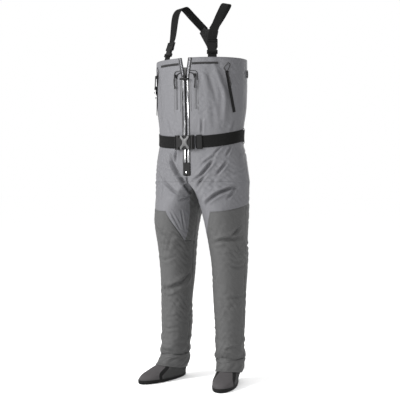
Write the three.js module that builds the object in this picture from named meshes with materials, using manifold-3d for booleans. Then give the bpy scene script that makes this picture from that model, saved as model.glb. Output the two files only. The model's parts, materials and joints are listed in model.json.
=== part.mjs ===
// Chest waders with stocking feet, standing upright as if worn.
// Millimetres, +Z up, -Y is the wearer's front, +X is the wearer's left.

import * as THREE from 'three';
import { mergeVertices } from 'three/addons/utils/BufferGeometryUtils.js';
import Module from 'manifold-3d';

const wasm = await Module();
wasm.setup();

// ---------------------------------------------------------------- driving dimensions

const GAP = 0.3;                 // clearance between sewn or resting pieces
const FABRIC = 2.5;              // laminate wall, with its lining
const SEAM_TURN = 0.0004;        // half of a vertical seam, as a share of one turn

const CHEST_TOP = 1397;          // top edge above the floor
const CROTCH = 871;              // inside leg
const CUFF = 100;                // where the leg fabric meets the bootie
const FRONT_TOP_Y = -155;        // front line at the chest top
const FRONT_SLOPE = 0.036;       // how far the straight front line leans back, per mm of fall

// [height, half width, rear line]
const TORSO = [[CROTCH, 220.5, 150], [965, 207, 142], [1062, 192, 135], [1200, 207, 149],
  [CHEST_TOP, 209, 154]];
// [height, centre x, outer half width, inner half width, half depth, centre y]
const LEG = [[CUFF, 137, 58, 58, 76, 10], [251, 132, 63, 63, 85, 16], [418, 128, 69, 69, 93, 18],
  [572, 128, 77, 77, 108, 14], [730, 117, 93, 93, 133, 2], [812, 62, 155, 52, 140, 5],
  [CROTCH, 1.8, 218.7, 1.4, 143, 7]];

// Upper edge of the dark lower leg: its height in front, its rise round the outside, and the
// angles past the front or back centre between which it falls to its low point inside the leg.
const SHIN_TOP = { front: 744, rise: 27, corner: 3, apex: 57, low: 615 };

const ZIP_BOTTOM = 898;
const ZIP_SLIDER = 1312;
const ZIP_TAPE = 16;             // width of one tape
const ZIP_BEAD = 3.4;            // width of one row of teeth
const ZIP_BEAD_RISE = 2;
const ZIP_SPREAD = 15;           // how far each tape opens at the chest top
const DOCK = { height: 53, proud: 3, stud: 12, studRadius: 4.3, studRise: 2 };
const SLIDER = { width: 15, height: 27, thick: 4, clear: 0.4, nose: 3 };
// Ears on the slider and the T-shaped pull hinged between them.
const TOGGLE = { width: 40, radius: 4, stem: 9, stemWidth: 6, stemThick: 2.6, ear: 3, earX: 4.6,
  hinge: 6, pin: 1.4, eye: 3 };

const CHEST_POCKET = { x: 46, top: 1330, length: 150, width: 10, thick: 1.6, facing: 9.4 };
const SIDE_POCKET = { turnTop: 52, turnEnd: 65, top: 1338, length: 172, width: 14, thick: 1.8,
  lift: 3.5 };
const ZIP_RIB = { half: 1.6, rise: 1.1 };
const POCKET_SLIDER = { width: 8, height: 13, thick: 3, drop: 2 };
const POCKET_PIN = { radius: 1, bore: 1.3, eye: 2.3, up: 3, out: 2.4, earX: 3.2 };
const PULL = { length: 46, width: 5, thick: 2.4, end: 9 };
const WEB_STRIP = { height: 9, thick: 1.8, top: 1376, from: 32, to: 40.9 };   // x, then degrees

const BELT = { front: 1038, rise: 32, width: 51, thick: 2.4, clear: 2 };
const BELT_BUCKLE_X = -15;        // middle of the socket
const BELT_LOOP = { turn: 104, width: 22, height: 70, thick: 2, stand: 5.6, radius: 150 };
const KEEPER = { x: 60, width: 24, wall: 3, clear: 1.6 };

const STRAP = { width: 38, thick: 1.8 };
const STRAP_FOOT = { x: 114, y: -124, z: 1368 };          // where the front tab is sewn inside
const STRAP_LEAN = 18;                                    // degrees that the front run leans back
const STRAP_TURN = 26;                                    // degrees that the front run faces outward
const STRAP_BUCKLE_UP = 48;                               // tab length up to the socket
const SHOULDER = { x: 110, y: 35, z: 1650 };
const YOKE = { top: 1556, topY: 70, neck: 1486, foot: 1372, footY: 137, thick: 2.6, tail: 40,
  drop: 8 };
// Right half of the yoke's top edge, from the strap's outer corner to the middle.
const YOKE_TOP = [[47, -9], [18, 17], [12, 6]];

const D_RING = { turn: -72, height: 1266, width: 32, drop: 27, bar: 3.4, tab: 24, tabDrop: 34,
  stand: 6.5 };
const SIDE_LOOP = { turn: 99, height: 1352, width: 20, drop: 34, bar: 5, thick: 3, stand: 2.5 };

const TOE_OUT = 13;
// [height, reach to the toe, reach to the heel, half width, forward bias of the width]
const FOOT = [[17, 228, 66, 47, 0.22], [34, 207, 68, 49, 0.2], [46, 166, 67, 50, 0.14],
  [60, 112, 67, 51, 0.07], [80, 80, 67, 52, 0], [CUFF - GAP, 72, 70, 53, 0]];
const SOLE = { thick: 17, edge: 3, draw: 4 };
const NEOPRENE = 4;
// Loose cuff: its fold below the leg's hem, then its own hem, low at the heel and high at the toe.
const GUARD = { top: 116, fold: 106, middle: 88, heelHem: 38, toeHem: 66, thick: 2,
  stand: 5, slack: 7 };

const STRAP_BUCKLE = { webbing: STRAP.width, length: 42, base: 24, thick: 11, tongue: 10, arm: 4,
  notch: 9, rim: 4, hook: 2.6 };
const BELT_BUCKLE = { webbing: BELT.width, length: 62, base: 26, thick: 13, tongue: 13, arm: 5,
  notch: 11, rim: 5, hook: 3.4 };
const BUCKLE_WALL = 2.5;
const SLOT = 3.2;                // webbing slots in every buckle
const SLOT_EDGE = 2.6;           // bar left beyond an end slot
const HEAD_SHARE = { length: 0.45, down: 0.62, tongue: 0.6 };   // of the socket's hollow

// ---------------------------------------------------------------- finishes

const finish = (color, roughness, metalness = 0) =>
  new THREE.MeshStandardMaterial({ color, roughness, metalness });
const LIGHT_FABRIC = finish(0x97979c, 0.75);
const DARK_FABRIC = finish(0x646464, 0.8);
const WEBBING = finish(0x222224, 0.85);
const PLASTIC = finish(0x18181a, 0.45);
const COATED_TAPE = finish(0x55555a, 0.15);
const NEOPRENE_FABRIC = finish(0x55514f, 0.9);
const RUBBER = finish(0x1c1c1e, 0.8);
const STEEL = finish(0xb8b8bc, 0.3, 1);

// ---------------------------------------------------------------- helpers

const waders = new THREE.Group();
const radians = THREE.MathUtils.degToRad;
const at = (x, y, z) => new THREE.Vector3(x, y, z);

function steps(from, to, count) {
  return Array.from({ length: count + 1 }, (_, i) => from + (to - from) * i / count);
}

function add(name, geometry, material, parent = waders) {
  const mesh = new THREE.Mesh(geometry, material);
  mesh.name = name;
  parent.add(mesh);
  return mesh;
}

// Smooth reading of a table [key, value, value ...] at one key, by cubic Hermite pieces.
function read(table, key) {
  const rows = [...table].sort((a, b) => a[0] - b[0]);
  const last = rows.length - 2;
  const found = rows.findIndex((row, k) => k <= last && key <= rows[k + 1][0]);
  const i = found < 0 ? last : found;
  const [p, q] = [rows[i], rows[i + 1]];
  const [before, after] = [rows[Math.max(i - 1, 0)], rows[Math.min(i + 2, last + 1)]];
  const span = q[0] - p[0];
  const u = THREE.MathUtils.clamp((key - p[0]) / span, 0, 1);
  return p.slice(1).map((value, k) => {
    const start = (q[k + 1] - before[k + 1]) / (q[0] - before[0]) * span;
    const end = (after[k + 1] - p[k + 1]) / (after[0] - p[0]) * span;
    return value * (2 * u ** 3 - 3 * u ** 2 + 1) + start * (u ** 3 - 2 * u ** 2 + u)
      + q[k + 1] * (3 * u ** 2 - 2 * u ** 3) + end * (u ** 3 - u ** 2);
  });
}

// Closed solid through rings with an even number of points, capped straight across.
function skin(rings, closed = false) {
  const count = rings[0].length;
  const index = [];
  const turns = closed ? rings.length : rings.length - 1;
  for (let i = 0; i < turns; i += 1) {
    for (let j = 0; j < count; j += 1) {
      const here = i * count;
      const next = ((i + 1) % rings.length) * count;
      const beside = (j + 1) % count;
      index.push(here + j, here + beside, next + beside, here + j, next + beside, next + j);
    }
  }
  if (!closed) {
    const top = (rings.length - 1) * count;
    for (let k = 0; k < count / 2 - 1; k += 1) {
      const far = count - 1 - k;
      index.push(k, far - 1, k + 1, k, far, far - 1);
      index.push(top + k, top + k + 1, top + far - 1, top + k, top + far - 1, top + far);
    }
  }
  const geometry = new THREE.BufferGeometry();
  const flat = rings.flat().flatMap((p) => [p.x, p.y, p.z]);
  geometry.setAttribute('position', new THREE.Float32BufferAttribute(flat, 3));
  geometry.setIndex(facingOut(flat, index));
  geometry.computeVertexNormals();
  return geometry;
}

// Turns every face round if the enclosed volume comes out negative.
function facingOut(flat, index) {
  const corner = (k) => at(flat[3 * k], flat[3 * k + 1], flat[3 * k + 2]);
  let volume = 0;
  for (let k = 0; k < index.length; k += 3) {
    volume += corner(index[k]).dot(corner(index[k + 1]).cross(corner(index[k + 2])));
  }
  if (volume > 0) return index;
  return index.map((value, k) => (k % 3 === 1 ? index[k + 1] : k % 3 === 2 ? index[k - 1] : value));
}

function toSolid(geometry) {
  const bare = geometry.clone();
  bare.deleteAttribute('normal');
  bare.deleteAttribute('uv');
  const merged = mergeVertices(bare, 1e-4);
  return new wasm.Manifold(new wasm.Mesh({
    numProp: 3,
    vertProperties: new Float32Array(merged.attributes.position.array),
    triVerts: new Uint32Array(merged.index.array),
  }));
}

function toGeometry(solid) {
  const mesh = solid.getMesh();
  const geometry = new THREE.BufferGeometry();
  const corners = new Float32Array(mesh.vertProperties);
  geometry.setAttribute('position', new THREE.BufferAttribute(corners, 3));
  geometry.setIndex(new THREE.BufferAttribute(new Uint32Array(mesh.triVerts), 1));
  geometry.computeVertexNormals();
  return geometry;
}

function block(width, depth, height, x, y, z) {
  return toSolid(new THREE.BoxGeometry(width, depth, height).translate(x, y, z));
}

// Round bar along local X.
function rod(radius, length, y, z, sides = 16) {
  return toSolid(new THREE.CylinderGeometry(radius, radius, length, sides)
    .rotateZ(Math.PI / 2).translate(0, y, z));
}

// Flat outline with optional holes, drawn in X and Z and given its thickness along Y.
function plate(outline, holes, thick) {
  const shape = new THREE.Shape(outline.map(([x, z]) => new THREE.Vector2(x, z)));
  shape.holes = holes.map((hole) => new THREE.Path(hole.map(([x, z]) => new THREE.Vector2(x, z))));
  const geometry = new THREE.ExtrudeGeometry(shape, { depth: thick, bevelEnabled: false });
  return geometry.translate(0, 0, -thick / 2).rotateX(Math.PI / 2);
}

// ---------------------------------------------------------------- the garment's surface

const frontLine = (z) => FRONT_TOP_Y + FRONT_SLOPE * (CHEST_TOP - z);

// Point on one half's section: turn 0 is the inner side, 0.25 front, 0.5 outer side, 0.75 back.
function body(side, turn, z, inset) {
  const across = Math.cos(2 * Math.PI * turn);
  const along = Math.sin(2 * Math.PI * turn);
  if (z > CROTCH) {
    const [wide, rear] = read(TORSO, z);
    const front = frontLine(z);
    const x = (wide - inset) * Math.abs(across);
    return at(side * x, (front + rear) / 2 - ((rear - front) / 2 - inset) * along, z);
  }
  const [middle, outer, inner, deep, centre] = read(LEG, z);
  const reach = (across > 0 ? inner : outer) - inset;
  return at(side * (middle - reach * across), centre - (deep - inset) * along, z);
}

// Turn at which the torso's section reaches a given distance from the centre line, at the front.
function turnAt(x, z) {
  return 0.25 + Math.asin(x / read(TORSO, Math.max(z, CROTCH + GAP))[0]) / (2 * Math.PI);
}

// Turn on the torso for an angle from the front centre, in degrees.
const turnFrom = (angle) => 0.25 + Math.abs(angle) / 360;

// Curved panel between two edges; edges give turn limits for a row and heights for a turn.
function panel(side, turns, heights, columns, rows, outer, inner) {
  return skin(rows.map((v) => {
    const rim = columns.map((u) => {
      const guess = heights(u, v);
      const [from, to] = turns(guess);
      return { turn: from + (to - from) * u, z: guess };
    });
    const outside = rim.map(({ turn, z }) => body(side, turn, z, outer));
    return [...outside, ...rim.reverse().map(({ turn, z }) => body(side, turn, z, inner))];
  }));
}

const zipSpread = (z) => ZIP_SPREAD * Math.max(0, (z - ZIP_SLIDER) / (CHEST_TOP - ZIP_SLIDER));
const frontEdge = (z) => (z < ZIP_BOTTOM ? GAP : ZIP_TAPE + 2 * GAP + zipSpread(z));

// Upper edge of the dark lower-leg fabric at an angle from the front centre, inner side negative.
function shinEdge(angle) {
  const { front, rise, corner, apex, low } = SHIN_TOP;
  const outside = THREE.MathUtils.clamp(angle, -corner, 180 + corner);
  const high = front + rise * (1 - Math.cos(radians(outside)));
  const fall = Math.min(Math.abs(angle - outside) / (apex - corner), 1);
  return THREE.MathUtils.lerp(high, low, fall);
}

function makeTorso(side, word) {
  const low = [CROTCH + GAP / 2, ZIP_BOTTOM - GAP, ZIP_BOTTOM];
  const rows = [...low, ...steps(ZIP_BOTTOM, ZIP_SLIDER, 9).slice(1), (ZIP_SLIDER + CHEST_TOP) / 2,
    CHEST_TOP];
  const level = (u, z) => z;
  const front = (z) => [turnAt(frontEdge(z), z), 0.5 - SEAM_TURN];
  const shell = panel(side, front, level, steps(0, 1, 9), rows, 0, FABRIC);
  add(`chest_front_${word}`, shell, LIGHT_FABRIC);
}

// One panel across the whole back, from side seam to side seam.
function makeBack() {
  const rim = steps(-1, 1, 18).map((share) => ({
    side: share < 0 ? 1 : -1,
    turn: 0.75 - Math.abs(share) * (0.25 - SEAM_TURN),
  }));
  const rows = [CROTCH + GAP / 2, ...steps(ZIP_BOTTOM, ZIP_SLIDER, 9), CHEST_TOP];
  const edge = (z, inset) => rim.map(({ side, turn }) => body(side, turn, z, inset));
  const rings = rows.map((z) => [...edge(z, 0), ...edge(z, FABRIC).reverse()]);
  add('back_panel', skin(rings), LIGHT_FABRIC);
}

function makeLeg(side, word) {
  const { corner, apex } = SHIN_TOP;
  const inside = [...steps(-90, -apex, 3), ...steps(-apex, -corner, 4).slice(1)];
  const front = [...inside, ...steps(-corner, 90, 6).slice(1)];
  const back = front.map((angle) => 180 - angle).reverse();
  for (const [name, angles] of [['front', front], ['back', back]]) {
    const low = angles[0];
    const columns = angles.map((angle) => (angle - low) / 180);
    const edge = (u) => shinEdge(low + 180 * u);
    const thigh = (u, v) => THREE.MathUtils.lerp(CROTCH - GAP / 2, edge(u) + GAP / 2, v);
    const shin = (u, v) => THREE.MathUtils.lerp(edge(u) - GAP / 2, CUFF, v);
    const start = 0.25 + low / 360;
    const limits = () => [start + SEAM_TURN, start + 0.5 - SEAM_TURN];
    for (const [part, heights, rows, fabric] of [['thigh', thigh, 5, LIGHT_FABRIC],
      ['shin', shin, 7, DARK_FABRIC]]) {
      const shell = panel(side, limits, heights, columns, steps(0, 1, rows), 0, FABRIC);
      add(`${part}_${name}_${word}`, shell, fabric);
    }
  }
}

// ---------------------------------------------------------------- feet

// Point of a foot's outline seen from above: q is 0 at the toe and half a circle at the heel.
function footPoint(side, q, z, inset, rim = read(FOOT, z)) {
  const [toe, heel, wide, bias] = rim;
  const [middle, , , , centre] = read(LEG, CUFF);
  const turn = side * radians(TOE_OUT);
  const x = (wide - inset) * Math.sin(q) * (1 + bias * Math.cos(q));
  const y = (heel - toe) / 2 - ((toe + heel) / 2 - inset) * Math.cos(q);
  return at(side * middle + x * Math.cos(turn) - y * Math.sin(turn),
    centre + x * Math.sin(turn) + y * Math.cos(turn), z);
}

function footLoop(side, z, inset, rim) {
  return steps(0, 2 * Math.PI, 24).slice(0, -1).map((q) => footPoint(side, q, z, inset, rim));
}

function makeFoot(side, word) {
  const levels = FOOT.map(([z]) => z);
  const outside = levels.map((z) => footLoop(side, z, 0));
  const inside = levels.map((z) => footLoop(side, z, NEOPRENE));
  const walls = outside[0].map((_, k) => [...outside.map((loop) => loop[k]),
    ...inside.map((loop) => loop[k]).reverse()]);
  add(`bootie_upper_${word}`, skin(walls, true), NEOPRENE_FABRIC);

  const rim = FOOT[0].slice(1);
  const lowered = (z, draw) => footLoop(side, z, draw, rim);
  const sole = [lowered(0, SOLE.draw), lowered(SOLE.edge, 0), lowered(SOLE.thick - GAP, 0)];
  add(`bootie_sole_${word}`, skin(sole), RUBBER);
}

// Loose cuff over the ankle, round above and following the foot below, high over the instep.
function makeGuard(side, word) {
  const walls = steps(0, 2 * Math.PI, 28).slice(0, -1).map((q) => {
    const turn = 0.25 + side * q / (2 * Math.PI);
    const hem = THREE.MathUtils.lerp(GUARD.heelHem, GUARD.toeHem, (1 + Math.cos(q)) / 2);
    const { top, fold, middle, stand, slack } = GUARD;
    const rim = (extra) => [body(side, turn, top, -2 * GAP - extra),
      body(side, turn, fold, -stand - extra), footPoint(side, q, middle, -slack - extra),
      footPoint(side, q, hem, -stand - extra)];
    return [...rim(GUARD.thick), ...rim(0).reverse()];
  });
  add(`gravel_guard_${word}`, skin(walls, true), DARK_FABRIC);
}

// ---------------------------------------------------------------- main zip

function makeZipTape(side, word) {
  const heights = [...steps(ZIP_BOTTOM + DOCK.height + GAP, ZIP_SLIDER, 4),
    ...steps(ZIP_SLIDER, CHEST_TOP, 3).slice(1)];
  const [inner, bead, rise] = [0.25, ZIP_BEAD, ZIP_BEAD_RISE];
  const behind = [ZIP_TAPE, bead + 0.1, bead - 0.1, inner].map((x) => [x, -FABRIC]);
  const section = [[inner, rise], [bead, rise], [bead, 0], [ZIP_TAPE, 0], ...behind];
  const rings = heights.map((z) => section.map(([x, out]) =>
    at(side * (x + zipSpread(z)), frontLine(z) - out, z)));
  add(`main_zip_tape_${word}`, skin(rings), COATED_TAPE);
}

// Local frame on the straight front line: X across, -Y out of the chest, Z up the zip.
function frontFrame(z) {
  const frame = new THREE.Group();
  frame.position.set(0, frontLine(z), z);
  frame.rotation.x = Math.atan(FRONT_SLOPE);
  waders.add(frame);
  return frame;
}

function makeMainZip() {
  makeZipTape(1, 'left');
  makeZipTape(-1, 'right');

  const dock = frontFrame(ZIP_BOTTOM + GAP);
  const { proud, stud, studRadius, studRise } = DOCK;
  const top = DOCK.height - GAP;
  const outline = [[-ZIP_TAPE, 0], [ZIP_TAPE, 0], [ZIP_TAPE, top], [-ZIP_TAPE, top]];
  const face = toSolid(plate(outline, [], FABRIC + proud).translate(0, (FABRIC - proud) / 2, 0));
  const rivet = new THREE.CylinderGeometry(studRadius - 0.3, studRadius + 0.3, studRise, 16)
    .rotateX(-Math.PI / 2).translate(0, 0.1 - proud - studRise / 2, stud);
  add('main_zip_bottom_dock', toGeometry(face.add(toSolid(rivet))), PLASTIC, dock);

  const slider = frontFrame(ZIP_SLIDER);
  const { width, height, thick, clear, nose } = SLIDER;
  const [wide, high] = [width / 2, height / 2];
  const front = -(ZIP_BEAD_RISE + clear + thick / 2);
  const shape = [[nose - wide, -high], [wide - nose, -high], [wide, 0], [wide, high],
    [-wide, high], [-wide, 0]];
  const earY = front - thick / 2 - TOGGLE.ear;
  let shell = toSolid(plate(shape, [], thick).translate(0, front, 0));
  for (const x of [-TOGGLE.earX, TOGGLE.earX]) {
    shell = shell.add(block(2, 2 * TOGGLE.ear + 1, 8, x, earY + 0.5, TOGGLE.hinge));
  }
  shell = shell.add(rod(TOGGLE.pin, 2 * TOGGLE.earX + 0.8, earY, TOGGLE.hinge));
  add('main_zip_slider', toGeometry(shell), PLASTIC, slider);

  const stemTop = TOGGLE.hinge - 2;
  const stemY = earY - 1.6;
  const pull = rod(TOGGLE.eye, TOGGLE.stemWidth, earY, TOGGLE.hinge, 20)
    .add(block(TOGGLE.stemWidth, TOGGLE.stemThick, TOGGLE.stem, 0, stemY, stemTop - TOGGLE.stem / 2))
    .subtract(rod(TOGGLE.pin + GAP, 2 * TOGGLE.stemWidth, earY, TOGGLE.hinge))
    .add(rod(TOGGLE.radius, TOGGLE.width, stemY - 1, stemTop - TOGGLE.stem, 20));
  add('main_zip_pull', toGeometry(pull), PLASTIC, slider);
}

// ---------------------------------------------------------------- pocket zips

// Straight zip lying on the torso between two points of its surface, with slider and pull.
function makePocketZip(label, topPoint, endPoint, outward, size) {
  const zip = new THREE.Group();
  const up = topPoint.clone().sub(endPoint).normalize();
  const across = up.clone().cross(outward).normalize();
  const out = across.clone().cross(up).normalize();
  zip.position.copy(topPoint);
  zip.setRotationFromMatrix(new THREE.Matrix4().makeBasis(across, out.clone().negate(), up));
  waders.add(zip);

  const long = topPoint.distanceTo(endPoint);
  const strip = (half, thick, y) =>
    toSolid(plate([[-half, -long], [half, -long], [half, 0], [-half, 0]], [], thick).translate(0, y, 0));
  const ribThick = ZIP_RIB.rise + 0.1;
  const rib = strip(ZIP_RIB.half, ribThick, 0.1 - size.thick - ribThick / 2);
  const tape = strip(size.width / 2, size.thick, -size.thick / 2);
  add(`${label}_zip`, toGeometry(tape.add(rib)), COATED_TAPE, zip);

  const { width, height, thick, drop } = POCKET_SLIDER;
  const { radius, bore, eye, earX } = POCKET_PIN;
  const front = -(size.thick + ZIP_RIB.rise + GAP + thick / 2);
  const low = -height / 2 - drop;
  const pinY = front - thick / 2 - POCKET_PIN.out;
  const pinZ = low + POCKET_PIN.up;
  const shell = block(width, thick, height, 0, front, low)
    .add(block(1.4, 5, 5, -earX, pinY + 0.8, pinZ)).add(block(1.4, 5, 5, earX, pinY + 0.8, pinZ))
    .add(rod(radius, 2 * earX + 0.6, pinY, pinZ, 12));
  add(`${label}_slider`, toGeometry(shell), PLASTIC, zip);

  const hang = low + 1 - PULL.length;
  const pull = rod(eye, 2 * earX - 2.4, pinY, pinZ)
    .add(block(PULL.width - 1.2, PULL.thick, PULL.length, 0, pinY - 1, hang + PULL.length / 2))
    .subtract(rod(bore, 8, pinY, pinZ, 12))
    .add(block(PULL.width + 2, PULL.thick + 1.6, PULL.end, 0, pinY - 1, hang));
  add(`${label}_pull`, toGeometry(pull), PLASTIC, zip);
}

function makePockets(side, word) {
  const { x, top, length, facing } = CHEST_POCKET;
  const chest = [top, top - length].map((z) =>
    body(side, turnAt(x, z), z, 0).setX(side * x).add(at(0, -GAP - 0.5, 0)));
  const turned = radians(facing);
  const ahead = at(side * Math.sin(turned), -Math.cos(turned), 0);
  makePocketZip(`chest_pocket_${word}`, ...chest, ahead, CHEST_POCKET);

  const { turnTop, turnEnd, lift } = SIDE_POCKET;
  const ends = [[turnTop, SIDE_POCKET.top], [turnEnd, SIDE_POCKET.top - SIDE_POCKET.length]];
  const slanted = ends.map(([angle, z]) => body(side, turnFrom(angle), z, -lift));
  const middle = turnFrom((turnTop + turnEnd) / 2);
  const within = body(side, middle, SIDE_POCKET.top, 40);
  const outward = body(side, middle, SIDE_POCKET.top, 0).sub(within).normalize();
  makePocketZip(`side_pocket_${word}`, ...slanted, outward, SIDE_POCKET);
}

// ---------------------------------------------------------------- webbing and belt

function makeWebStrip(side, word) {
  const rows = [WEB_STRIP.top, WEB_STRIP.top - WEB_STRIP.height];
  const turns = (z) => [turnAt(WEB_STRIP.from, z), turnFrom(WEB_STRIP.to)];
  const far = -GAP - WEB_STRIP.thick;
  add(`chest_web_${word}`, panel(side, turns, (u, z) => z, steps(0, 1, 8), rows, far, -GAP), WEBBING);
}

// Height of the belt's centre line at an angle from the front, in degrees.
function beltHeight(angle) {
  return BELT.front + BELT.rise * (1 - Math.cos(radians(Math.min(Math.abs(angle), 90))));
}

function beltPoint(angle, lift, offset) {
  const side = angle < 0 ? -1 : 1;
  return body(side, turnFrom(angle), beltHeight(angle) + lift, -offset);
}

const frontAngle = (x) => THREE.MathUtils.radToDeg(Math.asin(x / read(TORSO, BELT.front)[0]));

function makeBelt() {
  const half = BELT.width / 2;
  const { length, base, thick } = BELT_BUCKLE;
  const from = frontAngle(BELT_BUCKLE_X + length / 2 + base + 3 * GAP);
  const to = 360 + frontAngle(BELT_BUCKLE_X - length / 2 - 2 * GAP);
  const far = BELT.clear + BELT.thick;
  const rings = steps(from, to, 44).map((turned) => {
    const angle = turned > 180 ? turned - 360 : turned;
    return [[half, far], [-half, far], [-half, BELT.clear], [half, BELT.clear]]
      .map(([lift, offset]) => beltPoint(angle, lift, offset));
  });
  add('belt_webbing', skin(rings), WEBBING);

  const buckle = new THREE.Group();
  buckle.position.copy(beltPoint(frontAngle(BELT_BUCKLE_X), 0, ZIP_BEAD_RISE + 2 + thick / 2));
  buckle.rotation.set(0, Math.PI / 2, 0);
  waders.add(buckle);
  makeBuckle('belt', BELT_BUCKLE, buckle);

  const here = beltPoint(frontAngle(KEEPER.x), 0, BELT.clear + BELT.thick / 2);
  const ahead = beltPoint(frontAngle(KEEPER.x + 8), 0, BELT.clear + BELT.thick / 2);
  const along = ahead.clone().sub(here).normalize();
  const up = at(0, 0, 1).sub(along.clone().multiplyScalar(along.z)).normalize();
  const keeper = new THREE.Group();
  keeper.position.copy(here);
  keeper.setRotationFromMatrix(new THREE.Matrix4().makeBasis(along, up.clone().cross(along), up));
  waders.add(keeper);
  const hollow = { deep: BELT.thick + 0.6 + KEEPER.clear, high: BELT.width + 2 * KEEPER.clear };
  const rear = KEEPER.clear / 2;
  const outer = block(KEEPER.width, hollow.deep + KEEPER.wall, hollow.high + 2 * KEEPER.wall,
    0, -rear - KEEPER.wall / 2, 0);
  const inner = block(KEEPER.width + 2, hollow.deep + 1, hollow.high, 0, -rear + 1.2, 0);
  add('belt_keeper', toGeometry(outer.subtract(inner)), PLASTIC, keeper);
}

function makeBeltLoop(side, word) {
  const half = BELT_LOOP.height / 2;
  const spread = THREE.MathUtils.radToDeg(BELT_LOOP.width / 2 / BELT_LOOP.radius);
  const rings = steps(-spread, spread, 3).map((shift) => {
    const angle = side * (BELT_LOOP.turn + shift);
    const near = 3 * GAP;
    const far = BELT_LOOP.stand + BELT_LOOP.thick;
    return [[half, near], [half, far], [-half, far], [-half, near], [-half + BELT_LOOP.thick, near],
      [-half + BELT_LOOP.thick, BELT_LOOP.stand], [half - BELT_LOOP.thick, BELT_LOOP.stand],
      [half - BELT_LOOP.thick, near]].map(([lift, offset]) => beltPoint(angle, lift, offset));
  });
  add(`belt_loop_${word}`, skin(rings), LIGHT_FABRIC);
}

// ---------------------------------------------------------------- side-release buckles

// Socket below, plug above, along local Z; the face looks along -Y.
function makeBuckle(label, size, frame) {
  const { webbing, length, base, thick, tongue, arm, notch, rim, hook } = size;
  const wide = webbing + 2 * rim;
  const hollowWide = wide - 2 * BUCKLE_WALL - 4;
  const hollowThick = thick - 2 * BUCKLE_WALL;
  const foot = SLOT + 6;
  const hollowLong = length - foot;
  const slot = block(webbing + 1, thick + 2, SLOT, 0, 0, -length / 2 + SLOT_EDGE + SLOT / 2);
  const hollow = block(hollowWide, hollowThick, hollowLong, 0, 0, foot / 2 + 0.5);
  const headLong = hollowLong * HEAD_SHARE.length;
  const headZ = length / 2 - hollowLong * HEAD_SHARE.down;
  let socket = block(wide, thick, length, 0, 0, 0).subtract(slot).subtract(hollow);
  for (const s of [-1, 1]) {
    const x = s * (wide / 2 - notch / 2 + 0.5);
    socket = socket.subtract(block(notch, thick + 2, headLong, x, 0, headZ));
  }
  add(`${label}_buckle_socket`, toGeometry(socket), PLASTIC, frame);

  const seat = length / 2 + GAP;
  let plug = block(wide, thick - 2, base, 0, 0, seat + base / 2);
  for (const lift of [base * 0.42, base - SLOT_EDGE - 0.2 - SLOT / 2]) {
    plug = plug.subtract(block(webbing + 1, thick, SLOT, 0, 0, seat + lift));
  }
  const tongueLong = hollowLong * HEAD_SHARE.tongue;
  plug = plug.add(block(tongue, hollowThick - 1, tongueLong + 2, 0, 0, seat - tongueLong / 2 + 1));
  add(`${label}_buckle_plug`, toGeometry(plug), PLASTIC, frame);

  const reach = hollowWide / 2 - 0.8;
  const top = headZ + headLong / 2 - GAP;
  const low = headZ - headLong / 2 + 2;
  for (const [s, word] of [[1, 'left'], [-1, 'right']]) {
    const shape = [[-arm, seat - 0.6], [0, seat - 0.6], [0, top], [hook, top - 1],
      [hook - 1, low + 3], [-1, low], [-arm, low]];
    const outline = shape.map(([x, z]) => [s * (reach + x), z]);
    add(`${label}_buckle_arm_${word}`, plate(outline, [], hollowThick - 1), PLASTIC, frame);
  }
}

// ---------------------------------------------------------------- shoulder straps

function ribbon(points, widths, wide, thick) {
  const path = new THREE.CatmullRomCurve3(points, false, 'centripetal');
  const spread = new THREE.CatmullRomCurve3(widths, false, 'centripetal');
  return skin(steps(0, 1, 22).map((u) => {
    const centre = path.getPoint(u);
    const tangent = path.getTangent(u);
    const across = spread.getPoint(u);
    across.addScaledVector(tangent, -across.dot(tangent)).normalize().multiplyScalar(wide / 2);
    const through = tangent.clone().cross(across).normalize().multiplyScalar(thick / 2);
    return [[1, 1], [-1, 1], [-1, -1], [1, -1]].map(([a, b]) =>
      centre.clone().addScaledVector(across, a).addScaledVector(through, b));
  }));
}

function makeStrap(side, word) {
  const [lean, turn] = [radians(STRAP_LEAN), radians(STRAP_TURN)];
  const across = at(Math.cos(turn), side * Math.sin(turn), 0);
  const inward = at(-side * Math.sin(turn), Math.cos(turn), 0);
  const up = at(0, 0, Math.cos(lean)).addScaledVector(inward, Math.sin(lean));
  const foot = at(side * STRAP_FOOT.x, STRAP_FOOT.y, STRAP_FOOT.z);
  const along = (distance) => foot.clone().addScaledVector(up, distance);

  const tab = new THREE.Group();
  tab.position.copy(foot);
  tab.setRotationFromMatrix(new THREE.Matrix4().makeBasis(across, up.clone().cross(across), up));
  waders.add(tab);
  const tabLong = STRAP_BUCKLE_UP - GAP;
  add(`strap_tab_${word}`, new THREE.BoxGeometry(STRAP.width, STRAP.thick, tabLong)
    .translate(0, 0, tabLong / 2), WEBBING, tab);

  const buckle = new THREE.Group();
  buckle.position.set(0, 0, STRAP_BUCKLE_UP + STRAP_BUCKLE.length / 2);
  tab.add(buckle);
  makeBuckle(`strap_${word}`, STRAP_BUCKLE, buckle);

  const start = STRAP_BUCKLE_UP + STRAP_BUCKLE.length + STRAP_BUCKLE.base + 2 * GAP;
  const { x, y, z } = SHOULDER;
  // Over the shoulder: [x, y, z] of the middle line, then the direction of the webbing's width.
  const over = [[x + 2, y - 60, z - 38], [x, y - 22, z - 6], [x - 4, y + 6, z - 3],
    [x - 36, y + 22, z - 40], [34, YOKE.topY - 2, YOKE.top + 9]];
  const facing = [[0.9, 0.44, 0], [0.93, 0.36, 0], [1, 0.1, 0], [0.98, 0.05, -0.15],
    [0.95, 0.12, -0.3], [0.8, 0.2, -0.58], [0.75, 0.22, -0.63]];
  const points = [along(start), along(start + 18), ...over.map(([a, b, c]) => at(side * a, b, c))];
  const widths = facing.map(([a, b, c]) => at(a, side * b, side * c));
  add(`shoulder_strap_${word}`, ribbon(points, widths, STRAP.width, STRAP.thick), WEBBING);
}

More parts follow.
